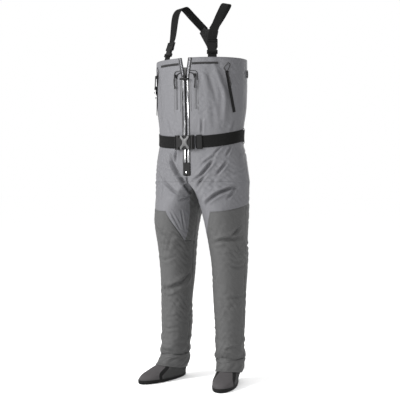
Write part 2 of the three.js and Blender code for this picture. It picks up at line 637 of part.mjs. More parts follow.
function makeYoke() {
  const fall = Math.hypot(YOKE.top - YOKE.foot, YOKE.footY - YOKE.topY);
  const neck = fall * (YOKE.top - YOKE.neck) / (YOKE.top - YOKE.foot);
  const half = YOKE.tail / 2;
  const mirrored = YOKE_TOP.map(([x, z]) => [-x, z]).reverse();
  const outline = [[-half, -fall], [half, -fall], [half, -neck], ...YOKE_TOP, ...mirrored,
    [-half, -neck]];
  const yoke = new THREE.Group();
  yoke.position.set(0, YOKE.topY, YOKE.top - YOKE.drop);
  yoke.rotation.x = Math.atan((YOKE.footY - YOKE.topY) / (YOKE.top - YOKE.foot));
  waders.add(yoke);
  add('back_yoke', plate(outline, [], YOKE.thick), WEBBING, yoke);
}

// ---------------------------------------------------------------- rings on the sides

// Frame on the torso's side: local -Y points out of the fabric, Z up, origin on the surface.
function sideFrame(angle, z) {
  const side = angle < 0 ? -1 : 1;
  const here = body(side, turnFrom(angle), z, 0);
  const ahead = body(side, turnFrom(Math.abs(angle) + 1), z, 0);
  const along = ahead.sub(here).normalize().multiplyScalar(side);
  const frame = new THREE.Group();
  frame.position.copy(here);
  const up = at(0, 0, 1);
  frame.setRotationFromMatrix(new THREE.Matrix4().makeBasis(along, up.clone().cross(along), up));
  waders.add(frame);
  return frame;
}

function makeDRing() {
  const frame = sideFrame(D_RING.turn, D_RING.height);
  const { width, drop, bar, tab, tabDrop, stand } = D_RING;
  const loop = bar + 2;
  let fold = block(tab, loop + 2.4, loop + 3, 0, -stand, 0);
  fold = fold.add(block(tab, 2, tabDrop, 0, -stand + 3, tabDrop / 2 - 4));
  fold = fold.subtract(block(tab + 2, loop, loop, 0, -stand, 0));
  add('d_ring_tab', toGeometry(fold), WEBBING, frame);

  const half = width / 2;
  const arc = (radius, from) => steps(0, Math.PI, 12).map((q) =>
    [radius * Math.cos(q), -from - radius * Math.sin(q)]);
  const straight = drop - half;
  const outside = [...arc(half, straight), [-half, bar / 2], [half, bar / 2]].reverse();
  const hollow = half - bar;
  const inside = [...arc(hollow, straight), [-hollow, -bar / 2], [hollow, -bar / 2]];
  add('d_ring', plate(outside, [inside], bar).translate(0, -stand, 0), STEEL, frame);
}

function makeSideLoop() {
  const frame = sideFrame(SIDE_LOOP.turn, SIDE_LOOP.height);
  const { width, drop, bar, thick, stand } = SIDE_LOOP;
  const ring = (radius, high) => steps(0, 2 * Math.PI, 24).slice(0, -1).map((q) =>
    [radius * Math.cos(q), -drop / 2 + high * Math.sin(q)]);
  const outline = ring(width / 2, drop / 2);
  const hole = ring(width / 2 - bar, drop / 2 - bar).reverse();
  add('side_loop', plate(outline, [hole], thick).translate(0, -thick / 2 - stand, 0), PLASTIC, frame);
}

// ---------------------------------------------------------------- assembly

for (const [side, word] of [[1, 'left'], [-1, 'right']]) {
  makeTorso(side, word);
  makeLeg(side, word);
  makeGuard(side, word);
  makeFoot(side, word);
  makePockets(side, word);
  makeWebStrip(side, word);
  makeBeltLoop(side, word);
  makeStrap(side, word);
}
makeBack();
makeMainZip();
makeBelt();
makeYoke();
makeDRing();
makeSideLoop();

// The origin is the middle of the footprint, on the floor.
waders.updateMatrixWorld(true);
const extent = new THREE.Box3().setFromObject(waders, true);
const middle = extent.getCenter(at(0, 0, 0));
const group = new THREE.Group();
waders.position.set(-middle.x, -middle.y, -extent.min.z);
group.add(waders);

export default group;
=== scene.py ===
"""Chest waders with stocking feet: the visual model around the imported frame."""

import json
import math

import bmesh
import bpy
import numpy as np
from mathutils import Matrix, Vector


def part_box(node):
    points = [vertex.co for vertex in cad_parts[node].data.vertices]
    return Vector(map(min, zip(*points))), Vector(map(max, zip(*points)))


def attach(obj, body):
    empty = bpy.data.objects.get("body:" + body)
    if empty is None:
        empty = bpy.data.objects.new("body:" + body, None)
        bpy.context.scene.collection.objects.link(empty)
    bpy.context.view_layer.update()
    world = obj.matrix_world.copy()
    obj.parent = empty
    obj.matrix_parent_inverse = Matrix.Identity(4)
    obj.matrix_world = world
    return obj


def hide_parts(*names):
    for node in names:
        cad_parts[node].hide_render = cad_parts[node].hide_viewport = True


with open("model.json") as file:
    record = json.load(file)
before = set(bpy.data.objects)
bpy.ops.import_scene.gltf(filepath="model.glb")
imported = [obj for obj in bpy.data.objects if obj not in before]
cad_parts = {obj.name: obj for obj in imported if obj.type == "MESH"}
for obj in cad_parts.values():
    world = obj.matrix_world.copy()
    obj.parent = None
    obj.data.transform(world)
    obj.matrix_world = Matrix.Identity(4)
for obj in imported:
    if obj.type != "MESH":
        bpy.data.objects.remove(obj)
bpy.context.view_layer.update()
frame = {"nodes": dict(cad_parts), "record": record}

MM = 0.001
TAU = 2 * math.pi

# ------------------------------------------------------------------ sizes shared with the frame, in mm

CHEST_TOP, CROTCH, CUFF = 1397, 871, 100
FRONT_TOP_Y, FRONT_SLOPE = -155, 0.036
TORSO = [(871, 220.5, 150), (965, 207, 142), (1062, 192, 135), (1200, 207, 149), (1397, 209, 154)]
LEG = [(100, 137, 58, 58, 76, 10), (251, 132, 63, 63, 85, 16), (418, 128, 69, 69, 93, 18),
       (572, 128, 77, 77, 108, 14), (730, 117, 93, 93, 133, 2), (812, 62, 155, 52, 140, 5),
       (871, 1.8, 218.7, 1.4, 143, 7)]
ZIP_BOTTOM, ZIP_SLIDER, ZIP_TAPE, ZIP_SPREAD = 898, 1312, 16, 15
TAPE_FOOT = ZIP_BOTTOM + 53.3               # lower end of the tapes, a gap above the dock
BELT_FRONT, BELT_RISE, BELT_WIDTH = 1038, 32, 51
BUCKLE_X = -15                             # middle of the belt buckle's socket
BELT_START, BELT_END = BUCKLE_X + 31 + 26.9, BUCKLE_X - 31.6
STRAP_WIDTH = 38
STRAP_FOOT = (114.0, -124, 1368)
STRAP_LEAN, STRAP_TURN = 18, 26            # degrees back and outward
STRAP_START = 48 + 42 + 24 + 0.6           # along the strap, past the tab and the buckle
D_RING_TURN, D_RING_HEIGHT, D_RING_STAND = 72, 1266.0, 6.5
D_RING_WIDTH, D_RING_BAR = 32, 3.4
LOOP_ANGLE = 104                           # degrees round from the front
FOOT = [(17, 228, 66, 47, 0.22), (34, 207, 68, 49, 0.2), (46, 166, 67, 50, 0.14),
        (60, 112, 67, 51, 0.07), (80, 80, 67, 52, 0), (99.7, 72, 70, 53, 0)]
FOOT_X, FOOT_Y, TOE_OUT = 137, 10, 13
SOLE_TOP, BOOTIE_TOP = 17, 99.7            # the sole's top edge at the toe, and the upper's top edge
TAPE_REACH = math.radians(64)              # how far round the foot the tape goes from the toe
SHIN_FRONT, SHIN_RISE, SHIN_CORNER, SHIN_APEX, SHIN_LOW = 744, 27, 3, 57, 615
WORD = {1: "left", -1: "right"}

low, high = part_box("back_panel")
SHIFT = np.array([(low[0] + high[0]) / 2, high[1] - 154 * MM, 0.0])

# ------------------------------------------------------------------ camera, lights and floor


def aim(thing, target):
    """Turns a camera or light so that its -Z looks at the target."""
    turn = (Vector(target) - thing.location).to_track_quat("-Z", "Y")
    thing.rotation_euler = turn.to_euler()


def around(azimuth, distance, height):
    """Place at an azimuth from the front, in degrees, positive towards the wearer's left."""
    a = math.radians(azimuth)
    return (SHIFT[0] + distance * math.sin(a), SHIFT[1] - distance * math.cos(a), height)


def set_camera():
    """Long-lens camera in front, stood round towards the wearer's left, at about crotch height."""
    view = bpy.data.cameras.new("camera")
    view.sensor_width = 36
    distance, azimuth, wide = 4.0, 27, 1.76
    view.lens = view.sensor_width * distance / wide
    camera = bpy.data.objects.new("camera", view)
    bpy.context.collection.objects.link(camera)
    camera.location = around(azimuth, distance, 0.836)
    a = math.radians(azimuth)
    aside = -0.0066
    aim(camera, (SHIFT[0] + aside * math.cos(a), SHIFT[1] + aside * math.sin(a), 0.792))
    bpy.context.scene.camera = camera


def add_light(name, azimuth, distance, height, size, power, target=0.85):
    """Rectangular lamp, aimed at a height on the object's middle line."""
    lamp = bpy.data.lights.new(name, "AREA")
    lamp.shape = "RECTANGLE"
    lamp.size, lamp.size_y = size
    lamp.energy = power
    holder = bpy.data.objects.new(name, lamp)
    bpy.context.collection.objects.link(holder)
    holder.location = around(azimuth, distance, height)
    aim(holder, (SHIFT[0], SHIFT[1], target))


def set_studio():
    """White surroundings and a pale floor.

    The key light is on the wearer's front right. Weaker ones stand behind and low in front.
    """
    world = bpy.data.worlds.new("studio")
    world.use_nodes = True
    back = world.node_tree.nodes["Background"]
    back.inputs["Color"].default_value = (1, 1, 1, 1)
    back.inputs["Strength"].default_value = 1.0
    bpy.context.scene.world = world
    bpy.context.scene.view_settings.view_transform = "Standard"
    add_light("key", -34, 3.4, 2.25, (1.2, 1.7), 235, 0.75)
    add_light("rim", 165, 3.6, 1.9, (1.2, 1.8), 30)
    add_light("low", 20, 3.6, 0.7, (1.0, 1.2), 62, 0.3)
    bpy.ops.mesh.primitive_plane_add(size=120, location=(0, 0, -0.001))
    floor = bpy.context.object
    floor.name = "floor"
    material = bpy.data.materials.new("pale_floor")
    material.use_nodes = True
    shader = material.node_tree.nodes["Principled BSDF"]
    shader.inputs["Base Color"].default_value = (0.86, 0.86, 0.86, 1)
    shader.inputs["Roughness"].default_value = 1.0
    shader.inputs["Specular IOR Level"].default_value = 0.0
    shader.inputs["Emission Color"].default_value = (1, 1, 1, 1)
    shader.inputs["Emission Strength"].default_value = 0.14
    floor.data.materials.append(material)


set_camera()
set_studio()

# ------------------------------------------------------------------ shader maths


class Value:
    """A socket that can be used in Python arithmetic."""

    def __init__(self, paint, socket):
        self.paint, self.socket = paint, socket

    def math(self, operation, *others, clamp=False):
        """The result of a maths node that starts from this value."""
        return self.paint.add("ShaderNodeMath", {"operation": operation, "use_clamp": clamp},
                              {k: v for k, v in enumerate((self, *others))})

    def __add__(self, other):
        return self.math("ADD", other)

    def __sub__(self, other):
        return self.math("SUBTRACT", other)

    def __rsub__(self, other):
        return self.paint.value(other).math("SUBTRACT", self)

    def __mul__(self, other):
        return self.math("MULTIPLY", other)

    def sine(self):
        """Sine of the value, taken as radians."""
        return self.math("SINE")

    def held(self):
        """The value kept between 0 and 1."""
        return self.math("ADD", 0, clamp=True)


class Paint:
    """A material, with one method that makes any node."""

    def __init__(self, name, **finish):
        self.material = bpy.data.materials.new(name)
        self.material.use_nodes = True
        self.tree = self.material.node_tree
        self.shader = self.tree.nodes["Principled BSDF"]
        for socket, value in finish.items():
            title = socket.replace("_", " ").title().replace("Ior", "IOR")
            self.shader.inputs[title].default_value = value

    def add(self, kind, settings=None, sockets=None, output=0):
        """A new node with its settings and inputs; gives back one of its outputs."""
        node = self.tree.nodes.new(kind)
        for key, value in (settings or {}).items():
            if key == "stops":
                ramp = node.color_ramp
                while len(ramp.elements) < len(value):
                    ramp.elements.new(0.5)
                for element, (place, colour) in zip(ramp.elements, value):
                    element.position, element.color = place, colour
            else:
                setattr(node, key, value)
        for key, value in (sockets or {}).items():
            if isinstance(value, Value):
                self.tree.links.new(value.socket, node.inputs[key])
            elif value is not None:
                node.inputs[key].default_value = value
        return Value(self, node.outputs[output])

    def value(self, number):
        """A plain number as a node."""
        node = self.tree.nodes.new("ShaderNodeValue")
        node.outputs[0].default_value = number
        return Value(self, node.outputs[0])

    def feed(self, socket, value):
        """Links a value to an input of the surface shader."""
        self.tree.links.new(value.socket, self.shader.inputs[socket])

    def place(self, name=None):
        """Object coordinates, or the named UV map in metres."""
        if name:
            return self.add("ShaderNodeUVMap", {"uv_map": name})
        return self.add("ShaderNodeTexCoord", output=3)

    def parts(self, vector):
        """The x, y and z of a vector."""
        node = self.tree.nodes.new("ShaderNodeSeparateXYZ")
        self.tree.links.new(vector.socket, node.inputs[0])
        return [Value(self, out) for out in node.outputs]

    def noise(self, vector, scale, detail=3.0, roughness=0.55):
        """Noise texture read at a vector."""
        return self.add("ShaderNodeTexNoise", None,
                        {"Vector": vector, "Scale": scale, "Detail": detail, "Roughness": roughness})

    def blend(self, factor, first, second):
        """Colour between the first and the second."""
        node = self.tree.nodes.new("ShaderNodeMix")
        node.data_type = "RGBA"
        for key, value in ((0, factor), (6, first), (7, second)):
            if isinstance(value, Value):
                self.tree.links.new(value.socket, node.inputs[key])
            else:
                node.inputs[key].default_value = value
        return Value(self, node.outputs[2])

    def attribute(self, name):
        """Number stored on the mesh's points."""
        return self.add("ShaderNodeAttribute", {"attribute_name": name}, output=2)

    def bump(self, height, distance, strength=1.0, under=None):
        """Normal tilted by a height, over a distance in metres."""
        return self.add("ShaderNodeBump", None,
                        {"Height": height, "Distance": distance, "Strength": strength, "Normal": under})


def grey(level, red=0.0, blue=0.0):
    """Grey of a level, with its red and blue changed by a share of it."""
    return (level * (1 + red), level, level * (1 + blue), 1)


def laminate(name, level, blue, rough):
    """Woven face fabric: fine ripstop grid, mottled tone, painted shade in the creases, darker along seams.
    """
    paint = Paint(name, roughness=rough, specular_ior_level=0.22)
    u, v, _ = paint.parts(paint.place("cloth"))
    weave = (u * (TAU / 0.0011)).sine() * (v * (TAU / 0.0011)).sine()
    grid = ((u * (TAU / 0.006)).sine().math("MAXIMUM", (v * (TAU / 0.006)).sine()) - 0.93).held() * 6
    spot = paint.place()
    cloud, fine = paint.noise(spot, 7.0), paint.noise(spot, 900.0, 2.0)
    rumple = paint.noise(spot, 26.0, 4.0, 0.6)
    crease, seam = paint.attribute("crease"), paint.attribute("seam")
    # Painted shade: the crease mark darkens the cloth in the folds' valleys.
    tone = (cloud * 0.14 + fine * 0.10 + 0.84 - crease * 0.6 - seam * 0.22).held()
    cloth = paint.blend(tone, grey(level * 0.35, 0, blue), grey(level, 0, blue))
    # Dark inner thigh: partly the dark gusset fabric, partly painted shade at the crotch.
    gusset = (paint.attribute("gusset") * 2).held()
    dark = paint.blend(tone, grey(DARK_TONE * 0.35), grey(DARK_TONE))
    paint.feed("Base Color", paint.blend(gusset, cloth, dark))
    paint.feed("Roughness", cloud * 0.16 + (rough - 0.08))
    height = weave * 0.010 + grid * 0.02 + fine * 0.015 + rumple
    paint.feed("Normal", paint.bump(height, 0.007, 0.55))
    return paint.material


def webbing(name, level, pitch=0.0016, uv="cloth"):
    """Ribbed narrow webbing: ribs across it and warp lines along it, with the ribs lighter than the grooves
    between them.
    """
    paint = Paint(name, roughness=0.85, specular_ior_level=0.1)
    spread = paint.parts(paint.place(uv))
    u, v = spread[0], spread[1] if uv else spread[2]
    rib = (v * (TAU / pitch)).sine()
    warp = (u * (TAU / 0.0022)).sine()
    dust = paint.noise(paint.place(), 400.0, 2.0)
    tone = (rib * 0.16 + warp * 0.1 + dust * 0.5 + 0.2).held()
    paint.feed("Base Color", paint.blend(tone, grey(level * 0.5), grey(level * 1.9)))
    paint.feed("Normal", paint.bump(rib * 0.6 + warp * 0.3, 0.0003, 0.7))
    return paint.material


def knit(name, level, red, blue):
    """Neoprene faced with a fine knit: warm forefoot, cooler heel, black tape over the seams."""
    paint = Paint(name, roughness=0.92, specular_ior_level=0.12)
    spot = paint.place()
    cells = paint.add("ShaderNodeTexVoronoi", {"feature": "F1"}, {"Vector": spot, "Scale": 650.0})
    cloud = paint.noise(spot, 22.0)
    seam = paint.attribute("seam")
    tone = (cloud * 0.5 + cells * 0.25 + 0.42 - seam * 0.35).held()
    front = paint.blend(tone, grey(level * 0.45, red, blue), grey(level, red, blue))
    back = paint.blend(tone, grey(level * 0.3), grey(level * 0.72))
    cloth = paint.blend(paint.attribute("heel"), front, back)
    taped = (paint.attribute("tape") * 3).held()
    paint.feed("Base Color", paint.blend(taped, cloth, grey(0.006)))
    paint.feed("Normal", paint.bump(cells * (1 - taped) + taped * 2, 0.0004, 0.5))
    return paint.material


def moulded(name, level, rough, scale=220.0, shine=0.2):
    """Moulded plastic or rubber: fine spark-eroded grain with scuffed, slightly paler patches."""
    paint = Paint(name, roughness=rough, specular_ior_level=shine)
    spot = paint.place()
    grain = paint.noise(spot, scale * 6, 2.0)
    scuff = paint.noise(spot, scale * 0.3, 5.0, 0.7)
    worn = ((scuff - 0.52) * 6).held()
    paint.feed("Base Color", paint.blend(worn * 0.6 + grain * 0.25, grey(level), grey(level * 2.2)))
    paint.feed("Roughness", scuff * 0.22 + (rough - 0.1))
    paint.feed("Normal", paint.bump(grain, 0.00015, 0.35))
    return paint.material


def coated(name):
    """Glossy coated zip tape: a silvery film with painted highlights in long broken streaks, fading out near
    the slider.
    """
    paint = Paint(name, metallic=0.75, roughness=0.2, coat_weight=0.4, coat_roughness=0.1)
    u, v, w = paint.parts(paint.place())
    streak = paint.add("ShaderNodeCombineXYZ", None, {0: u * 5, 1: v * 2, 2: w * 0.4})
    shine = paint.noise(streak, 24.0, 2.0)
    # Painted highlights: pale streaks in the base colour, none above the slider's height.
    painted_highlight = ((shine - 0.56) * 8).held() * ((1.318 - w) * 80).held()
    paint.feed("Base Color", paint.blend(painted_highlight, grey(0.055, 0, 0.08), grey(0.8)))
    paint.feed("Roughness", (1 - painted_highlight) * 0.25 + 0.12)
    paint.feed("Normal", paint.bump(shine, 0.004, 0.4))
    return paint.material


def plated(name, level):
    """Bright nickel plate with fine polishing lines."""
    paint = Paint(name, metallic=1.0, roughness=0.22)
    spot = paint.place()
    line = paint.noise(spot, 700.0, 3.0)
    paint.feed("Base Color", paint.blend(line, grey(level * 0.8), grey(level)))
    paint.feed("Roughness", line * 0.2 + 0.12)
    paint.feed("Normal", paint.bump(line, 0.0001, 0.3))
    return paint.material


DARK_TONE = 0.047
LIGHT = laminate("light_laminate", 0.084, 0.07, 0.6)
DARK = laminate("dark_laminate", DARK_TONE, 0.0, 0.66)
LINING = laminate("lining", 0.13, 0.0, 0.8)
LINING_DARK = laminate("dark_lining", 0.04, 0.0, 0.8)
WEB = webbing("black_webbing", 0.003)
WEB_OBJECT = webbing("black_webbing_flat", 0.0035, uv=None)
WEB_GREY_OBJECT = webbing("grey_webbing_flat", 0.014, uv=None)
YOKE_FACE = moulded("yoke_face", 0.006, 0.6, 120.0)
KNIT = knit("bootie_knit", 0.05, 0.06, 0.03)
SOLE = moulded("sole_coating", 0.005, 0.8, shine=0.1)
PLASTIC = moulded("black_acetal", 0.004, 0.5, shine=0.1)
HIGHLIGHT_GREY = moulded("painted_buckle_highlight", 0.05, 0.4)
COATED = coated("coated_tape")
TRACK = moulded("zip_track", 0.004, 0.5, shine=0.1)
POCKET_TRACK = laminate("pocket_track", 0.07, 0.06, 0.6)
LOOP = laminate("belt_loop_cloth", 0.07, 0.04, 0.6)
STEEL = plated("nickel_plate", 0.75)
PIPING = moulded("welded_edge", 0.014, 0.5)
WELDED = moulded("welded_fabric", 0.062, 0.6, 60.0)
CORD = moulded("cord_sheath", 0.006, 0.7, 500.0)

# ------------------------------------------------------------------ mesh helpers


def make(name, points, material, body="garment", slot=None, wrap=(False, False), cloth=None,
         marks=None, thick=0.0, lining=None):
    """Grid of points [rows, columns, xyz] in mm as a smooth mesh in metres, placed in the frame."""
    rows, columns = points.shape[:2]
    place = np.asarray(points, float) * MM + SHIFT
    r = np.arange(rows if wrap[0] else rows - 1)
    c = np.arange(columns if wrap[1] else columns - 1)
    a, b = np.meshgrid(r, c, indexing="ij")
    a2, b2 = (a + 1) % rows, (b + 1) % columns
    quads = np.stack([a * columns + b, a * columns + b2, a2 * columns + b2, a2 * columns + b], -1)
    mesh = bpy.data.meshes.new(name)
    mesh.from_pydata(place.reshape(-1, 3), [], quads.reshape(-1, 4))
    mesh.polygons.foreach_set("use_smooth", np.ones(len(mesh.polygons), bool))
    if cloth is not None:
        layer = mesh.uv_layers.new(name="cloth")
        index = np.empty(len(mesh.loops), int)
        mesh.loops.foreach_get("vertex_index", index)
        layer.data.foreach_set("uv", (np.asarray(cloth, float) * MM).reshape(-1, 2)[index].ravel())
    for key, values in (marks or {}).items():
        attribute = mesh.attributes.new(key, "FLOAT", "POINT")
        attribute.data.foreach_set("value", np.asarray(values, float).ravel())
    piece = bpy.data.objects.new(name, mesh)
    bpy.context.collection.objects.link(piece)
    mesh.materials.append(material)
    if lining is not None:
        mesh.materials.append(lining)
    if thick:
        shell = piece.modifiers.new("wall", "SOLIDIFY")
        shell.thickness = thick * MM
        shell.offset = -1
        shell.material_offset = 1 if lining is not None else 0
    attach(piece, body)
    return piece


def closed(name, points, material, **how):
    """Rings of points [rings, round, xyz] as a closed tube with flat fan ends, facing out."""
    first, last = points[:1].mean(1, keepdims=True), points[-1:].mean(1, keepdims=True)
    count = points.shape[1]
    points = np.concatenate([np.repeat(first, count, 1), points, np.repeat(last, count, 1)])
    piece = make(name, points, material, wrap=(False, True), **how)
    tidy(piece)
    return piece


def tidy(piece):
    """Merges doubles and turns the faces outward."""
    work = bmesh.new()
    work.from_mesh(piece.data)
    bmesh.ops.remove_doubles(work, verts=work.verts, dist=1e-6)
    bmesh.ops.dissolve_degenerate(work, edges=work.edges, dist=1e-7)
    bmesh.ops.recalc_face_normals(work, faces=work.faces)
    work.to_mesh(piece.data)
    work.free()


def spline(points, count, closed=False):
    """Centripetal Catmull-Rom curve through control points, sampled evenly along its first three columns."""
    p = np.asarray(points, float)
    p = np.vstack([p[-1], p, p[0], p[1]]) if closed else np.vstack([2 * p[0] - p[1], p, 2 * p[-1] - p[-2]])
    gap = np.sqrt(np.maximum(np.linalg.norm(np.diff(p[:, :3], axis=0), axis=1), 1e-6))[:, None]
    a, b, c, d = p[:-3], p[1:-2], p[2:-1], p[3:]
    before, here, after = gap[:-2], gap[1:-1], gap[2:]
    start = ((b - a) / before - (c - a) / (before + here) + (c - b) / here) * here
    end = ((c - b) / here - (d - b) / (here + after) + (d - c) / after) * here
    t = np.linspace(0, 1, 33)[:-1, None, None]
    curve = (b * (2 * t ** 3 - 3 * t ** 2 + 1) + start * (t ** 3 - 2 * t ** 2 + t)
             + c * (3 * t ** 2 - 2 * t ** 3) + end * (t ** 3 - t ** 2))
    curve = np.vstack([np.moveaxis(curve, 0, 1).reshape(-1, p.shape[1]), c[-1]])
    length = np.concatenate([[0], np.cumsum(np.linalg.norm(np.diff(curve[:, :3], axis=0), axis=1))])
    even = np.linspace(0, length[-1], count)
    return np.stack([np.interp(even, length, curve[:, k]) for k in range(p.shape[1])], 1)


def unit(v):
    """Vectors brought to length one."""
    return v / np.maximum(np.linalg.norm(v, axis=-1, keepdims=True), 1e-9)


def sweep(path, across, wide, thick, corner=0.45, sides=5):
    """Rounded-rectangle section carried along a path; across gives the width direction.

    The section's outline is a superellipse-cornered rectangle: cos and sin each raised to the
    corner power, so the faces stay flat and the edges turn over softly.
    """
    tangent = unit(np.gradient(path, axis=0))
    across = unit(across - tangent * (across * tangent).sum(1, keepdims=True))
    through = np.cross(tangent, across)
    q = np.linspace(0, TAU, 4 * sides, endpoint=False) + TAU / (8 * sides)
    x = np.sign(np.cos(q)) * np.abs(np.cos(q)) ** corner * wide / 2
    y = np.sign(np.sin(q)) * np.abs(np.sin(q)) ** corner * thick / 2
    points = path[:, None] + across[:, None] * x[None, :, None] + through[:, None] * y[None, :, None]
    run = np.concatenate([[0], np.cumsum(np.linalg.norm(np.diff(path, axis=0), axis=1))])
    cloth = np.stack(np.broadcast_arrays(x[None, :], run[:, None]), -1)
    return points, cloth


def band(name, path, across, wide, thick, material, **how):
    """Flat webbing or cord along a path, closed at both ends."""
    points, cloth = sweep(path, across, wide, thick)
    cloth = np.concatenate([cloth[:1], cloth, cloth[-1:]])
    return closed(name, points, material, cloth=cloth, **how)


def refine(node, material, edge=0.6):
    """Copy of a frame node with merged vertices and rounded edges, standing for it."""
    source = frame["nodes"][node]
    piece = bpy.data.objects.new(f"{node}_fine", source.data.copy())
    bpy.context.collection.objects.link(piece)
    piece.data.transform(source.matrix_world)
    piece.data.materials.clear()
    piece.data.materials.append(material)
    tidy(piece)
    soft = piece.modifiers.new("edge", "BEVEL")
    soft.width = edge * MM
    soft.segments = 2
    soft.limit_method = "ANGLE"
    soft.angle_limit = math.radians(28)
    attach(piece, BODY_OF[node])
    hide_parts(node)
    return piece


BODY_OF = {node: body for body, nodes in frame["record"]["behaviour"]["bodies"].items() for node in nodes}

# ------------------------------------------------------------------ the garment's surface


def read(table, key):
    """Cubic Hermite reading of a table, the same curve as the frame's."""
    rows = np.array(sorted(table), float)
    keys, values = rows[:, 0], rows[:, 1:]
    last = len(rows) - 2
    i = np.clip(np.searchsorted(keys, key, side="left") - 1, 0, last)
    before, after = np.maximum(i - 1, 0), np.minimum(i + 2, last + 1)
    span = (keys[i + 1] - keys[i])
    u = np.clip((key - keys[i]) / span, 0, 1)[..., None]
    start = (values[i + 1] - values[before]) / (keys[i + 1] - keys[before])[..., None] * span[..., None]
    end = (values[after] - values[i]) / (keys[after] - keys[i])[..., None] * span[..., None]
    out = (values[i] * (2 * u ** 3 - 3 * u ** 2 + 1) + start * (u ** 3 - 2 * u ** 2 + u)
           + values[i + 1] * (3 * u ** 2 - 2 * u ** 3) + end * (u ** 3 - u ** 2))
    return np.moveaxis(out, -1, 0)


def front_line(z):
    """Depth of the zip's line at a height: a straight line that leans back as it goes down."""
    return FRONT_TOP_Y + FRONT_SLOPE * (CHEST_TOP - z)


def body(side, turn, z, inset=0.0):
    """Section of one half: an ellipse quarter by quarter, turn 0 inner, 0.25 front, 0.5 outer."""
    turn, z = np.broadcast_arrays(np.asarray(turn, float), np.asarray(z, float))
    across, along = np.cos(TAU * turn), np.sin(TAU * turn)
    wide, rear = read(TORSO, np.maximum(z, CROTCH))
    front = front_line(z)
    torso = np.stack([side * (wide - inset) * np.abs(across),
                      (front + rear) / 2 - ((rear - front) / 2 - inset) * along, z], -1)
    middle, outer, inner, deep, centre = read(LEG, np.minimum(z, CROTCH))
    reach = np.where(across > 0, inner, outer) - inset
    leg = np.stack([side * (middle - reach * across), centre - (deep - inset) * along, z], -1)
    return np.where((z > CROTCH)[..., None], torso, leg)


def outward(side, turn, z):
    """Unit normal of the section, by small differences round the turn and up the height."""
    e, h = 0.002, 4.0
    round_way = body(side, turn + e, z) - body(side, turn - e, z)
    up_way = body(side, turn, np.clip(z + h, CUFF, CHEST_TOP)) - body(side, turn, z - h)
    cross = unit(np.cross(round_way, up_way))
    centre = body(side, turn, z, 30.0)
    facing = ((body(side, turn, z) - centre) * cross).sum(-1, keepdims=True)
    return np.where(facing < 0, -cross, cross)


# Folds: side, half width and depth in mm, then points as (angle from the front, height).
# A negative depth is a raised ridge. Angles below 0 are on the inner side of a leg.
CREASES = [
    (-1, 8, 9.0, (14, 1022), (16, 985), (15, 945)), (-1, 6, 5.5, (10, 1014), (9, 964)),
    (-1, 13, 21.0, (25, 985), (20, 946), (14, 915), (8, 886), (-20, 858), (-56, 828)),
    (-1, 9, 9.0, (38, 880), (22, 852), (3, 826), (-24, 818)), (-1, 8, 8.0, (-30, 790), (-60, 812)),
    (-1, 6, 4.0, (-44, 748), (-56, 660)), (-1, 6, 3.5, (-18, 742), (-44, 664)),
    (-1, 8, 4.5, (36, 975), (24, 925)), (-1, 9, 4.0, (60, 930), (40, 880), (28, 800)),
    (-1, 14, 9.0, (36, 402), (0, 402), (-27, 414), (-56, 432), (-84, 475)),
    (-1, 8, 4.0, (10, 380), (-34, 400)), (-1, 9, 3.5, (4, 274), (-40, 284)),
    (-1, 9, 4.0, (-8, 156), (-56, 184)), (-1, 14, 4.5, (42, 706), (10, 652), (-42, 604)),
    (-1, 10, 3.5, (50, 560), (10, 530), (-30, 545)), (-1, 9, 3.0, (40, 250), (0, 226), (-50, 236)),
    (1, 9, 12.0, (8, 878), (18, 902), (34, 966)), (1, 8, 9.0, (36, 900), (52, 956)),
    (1, 10, 13.0, (-8, 764), (0, 778), (27, 816), (45, 836), (64, 850)),
    (1, 8, 8.0, (44, 800), (62, 846)), (1, 8, 8.0, (4, 842), (16, 872), (26, 912)),
    (1, 7, 6.5, (36, 990), (50, 1028)), (1, 8, 7.0, (20, 946), (38, 986)), (1, 7, 6.0, (52, 980), (66, 1030)),
    (1, 11, 8.0, (-24, 606), (16, 624), (46, 628), (76, 634)), (1, 9, 8.0, (40, 636), (55, 655), (72, 682)),
    (1, 9, 4.5, (-24, 166), (14, 156), (70, 172)), (1, 9, 3.5, (-5, 368), (50, 376), (95, 384)),
    (1, 9, 3.5, (-15, 240), (60, 252)), (1, 8, 4.0, (60, 905), (86, 930)),
    (1, 10, 3.5, (20, 520), (60, 505), (95, 515)),
    (1, 16, -6.0, (34, 1380), (43, 1300), (50, 1236), (51, 1120)),
    (1, 14, 5.0, (26, 1350), (34, 1270), (41, 1180)), (1, 8, 4.5, (21, 1140), (21, 1070)),
    (1, 16, 3.0, (28, 1320), (33, 1200), (38, 1085)), (-1, 12, 3.5, (32, 1150), (26, 1075)),
    (-1, 18, 2.5, (50, 1340), (44, 1200), (48, 1090)), (-1, 9, 3.5, (62, 1110), (50, 1066)),
    (1, 10, 4.0, (70, 1130), (64, 1072)), (1, 9, 3.0, (84, 1010), (76, 965)),
]
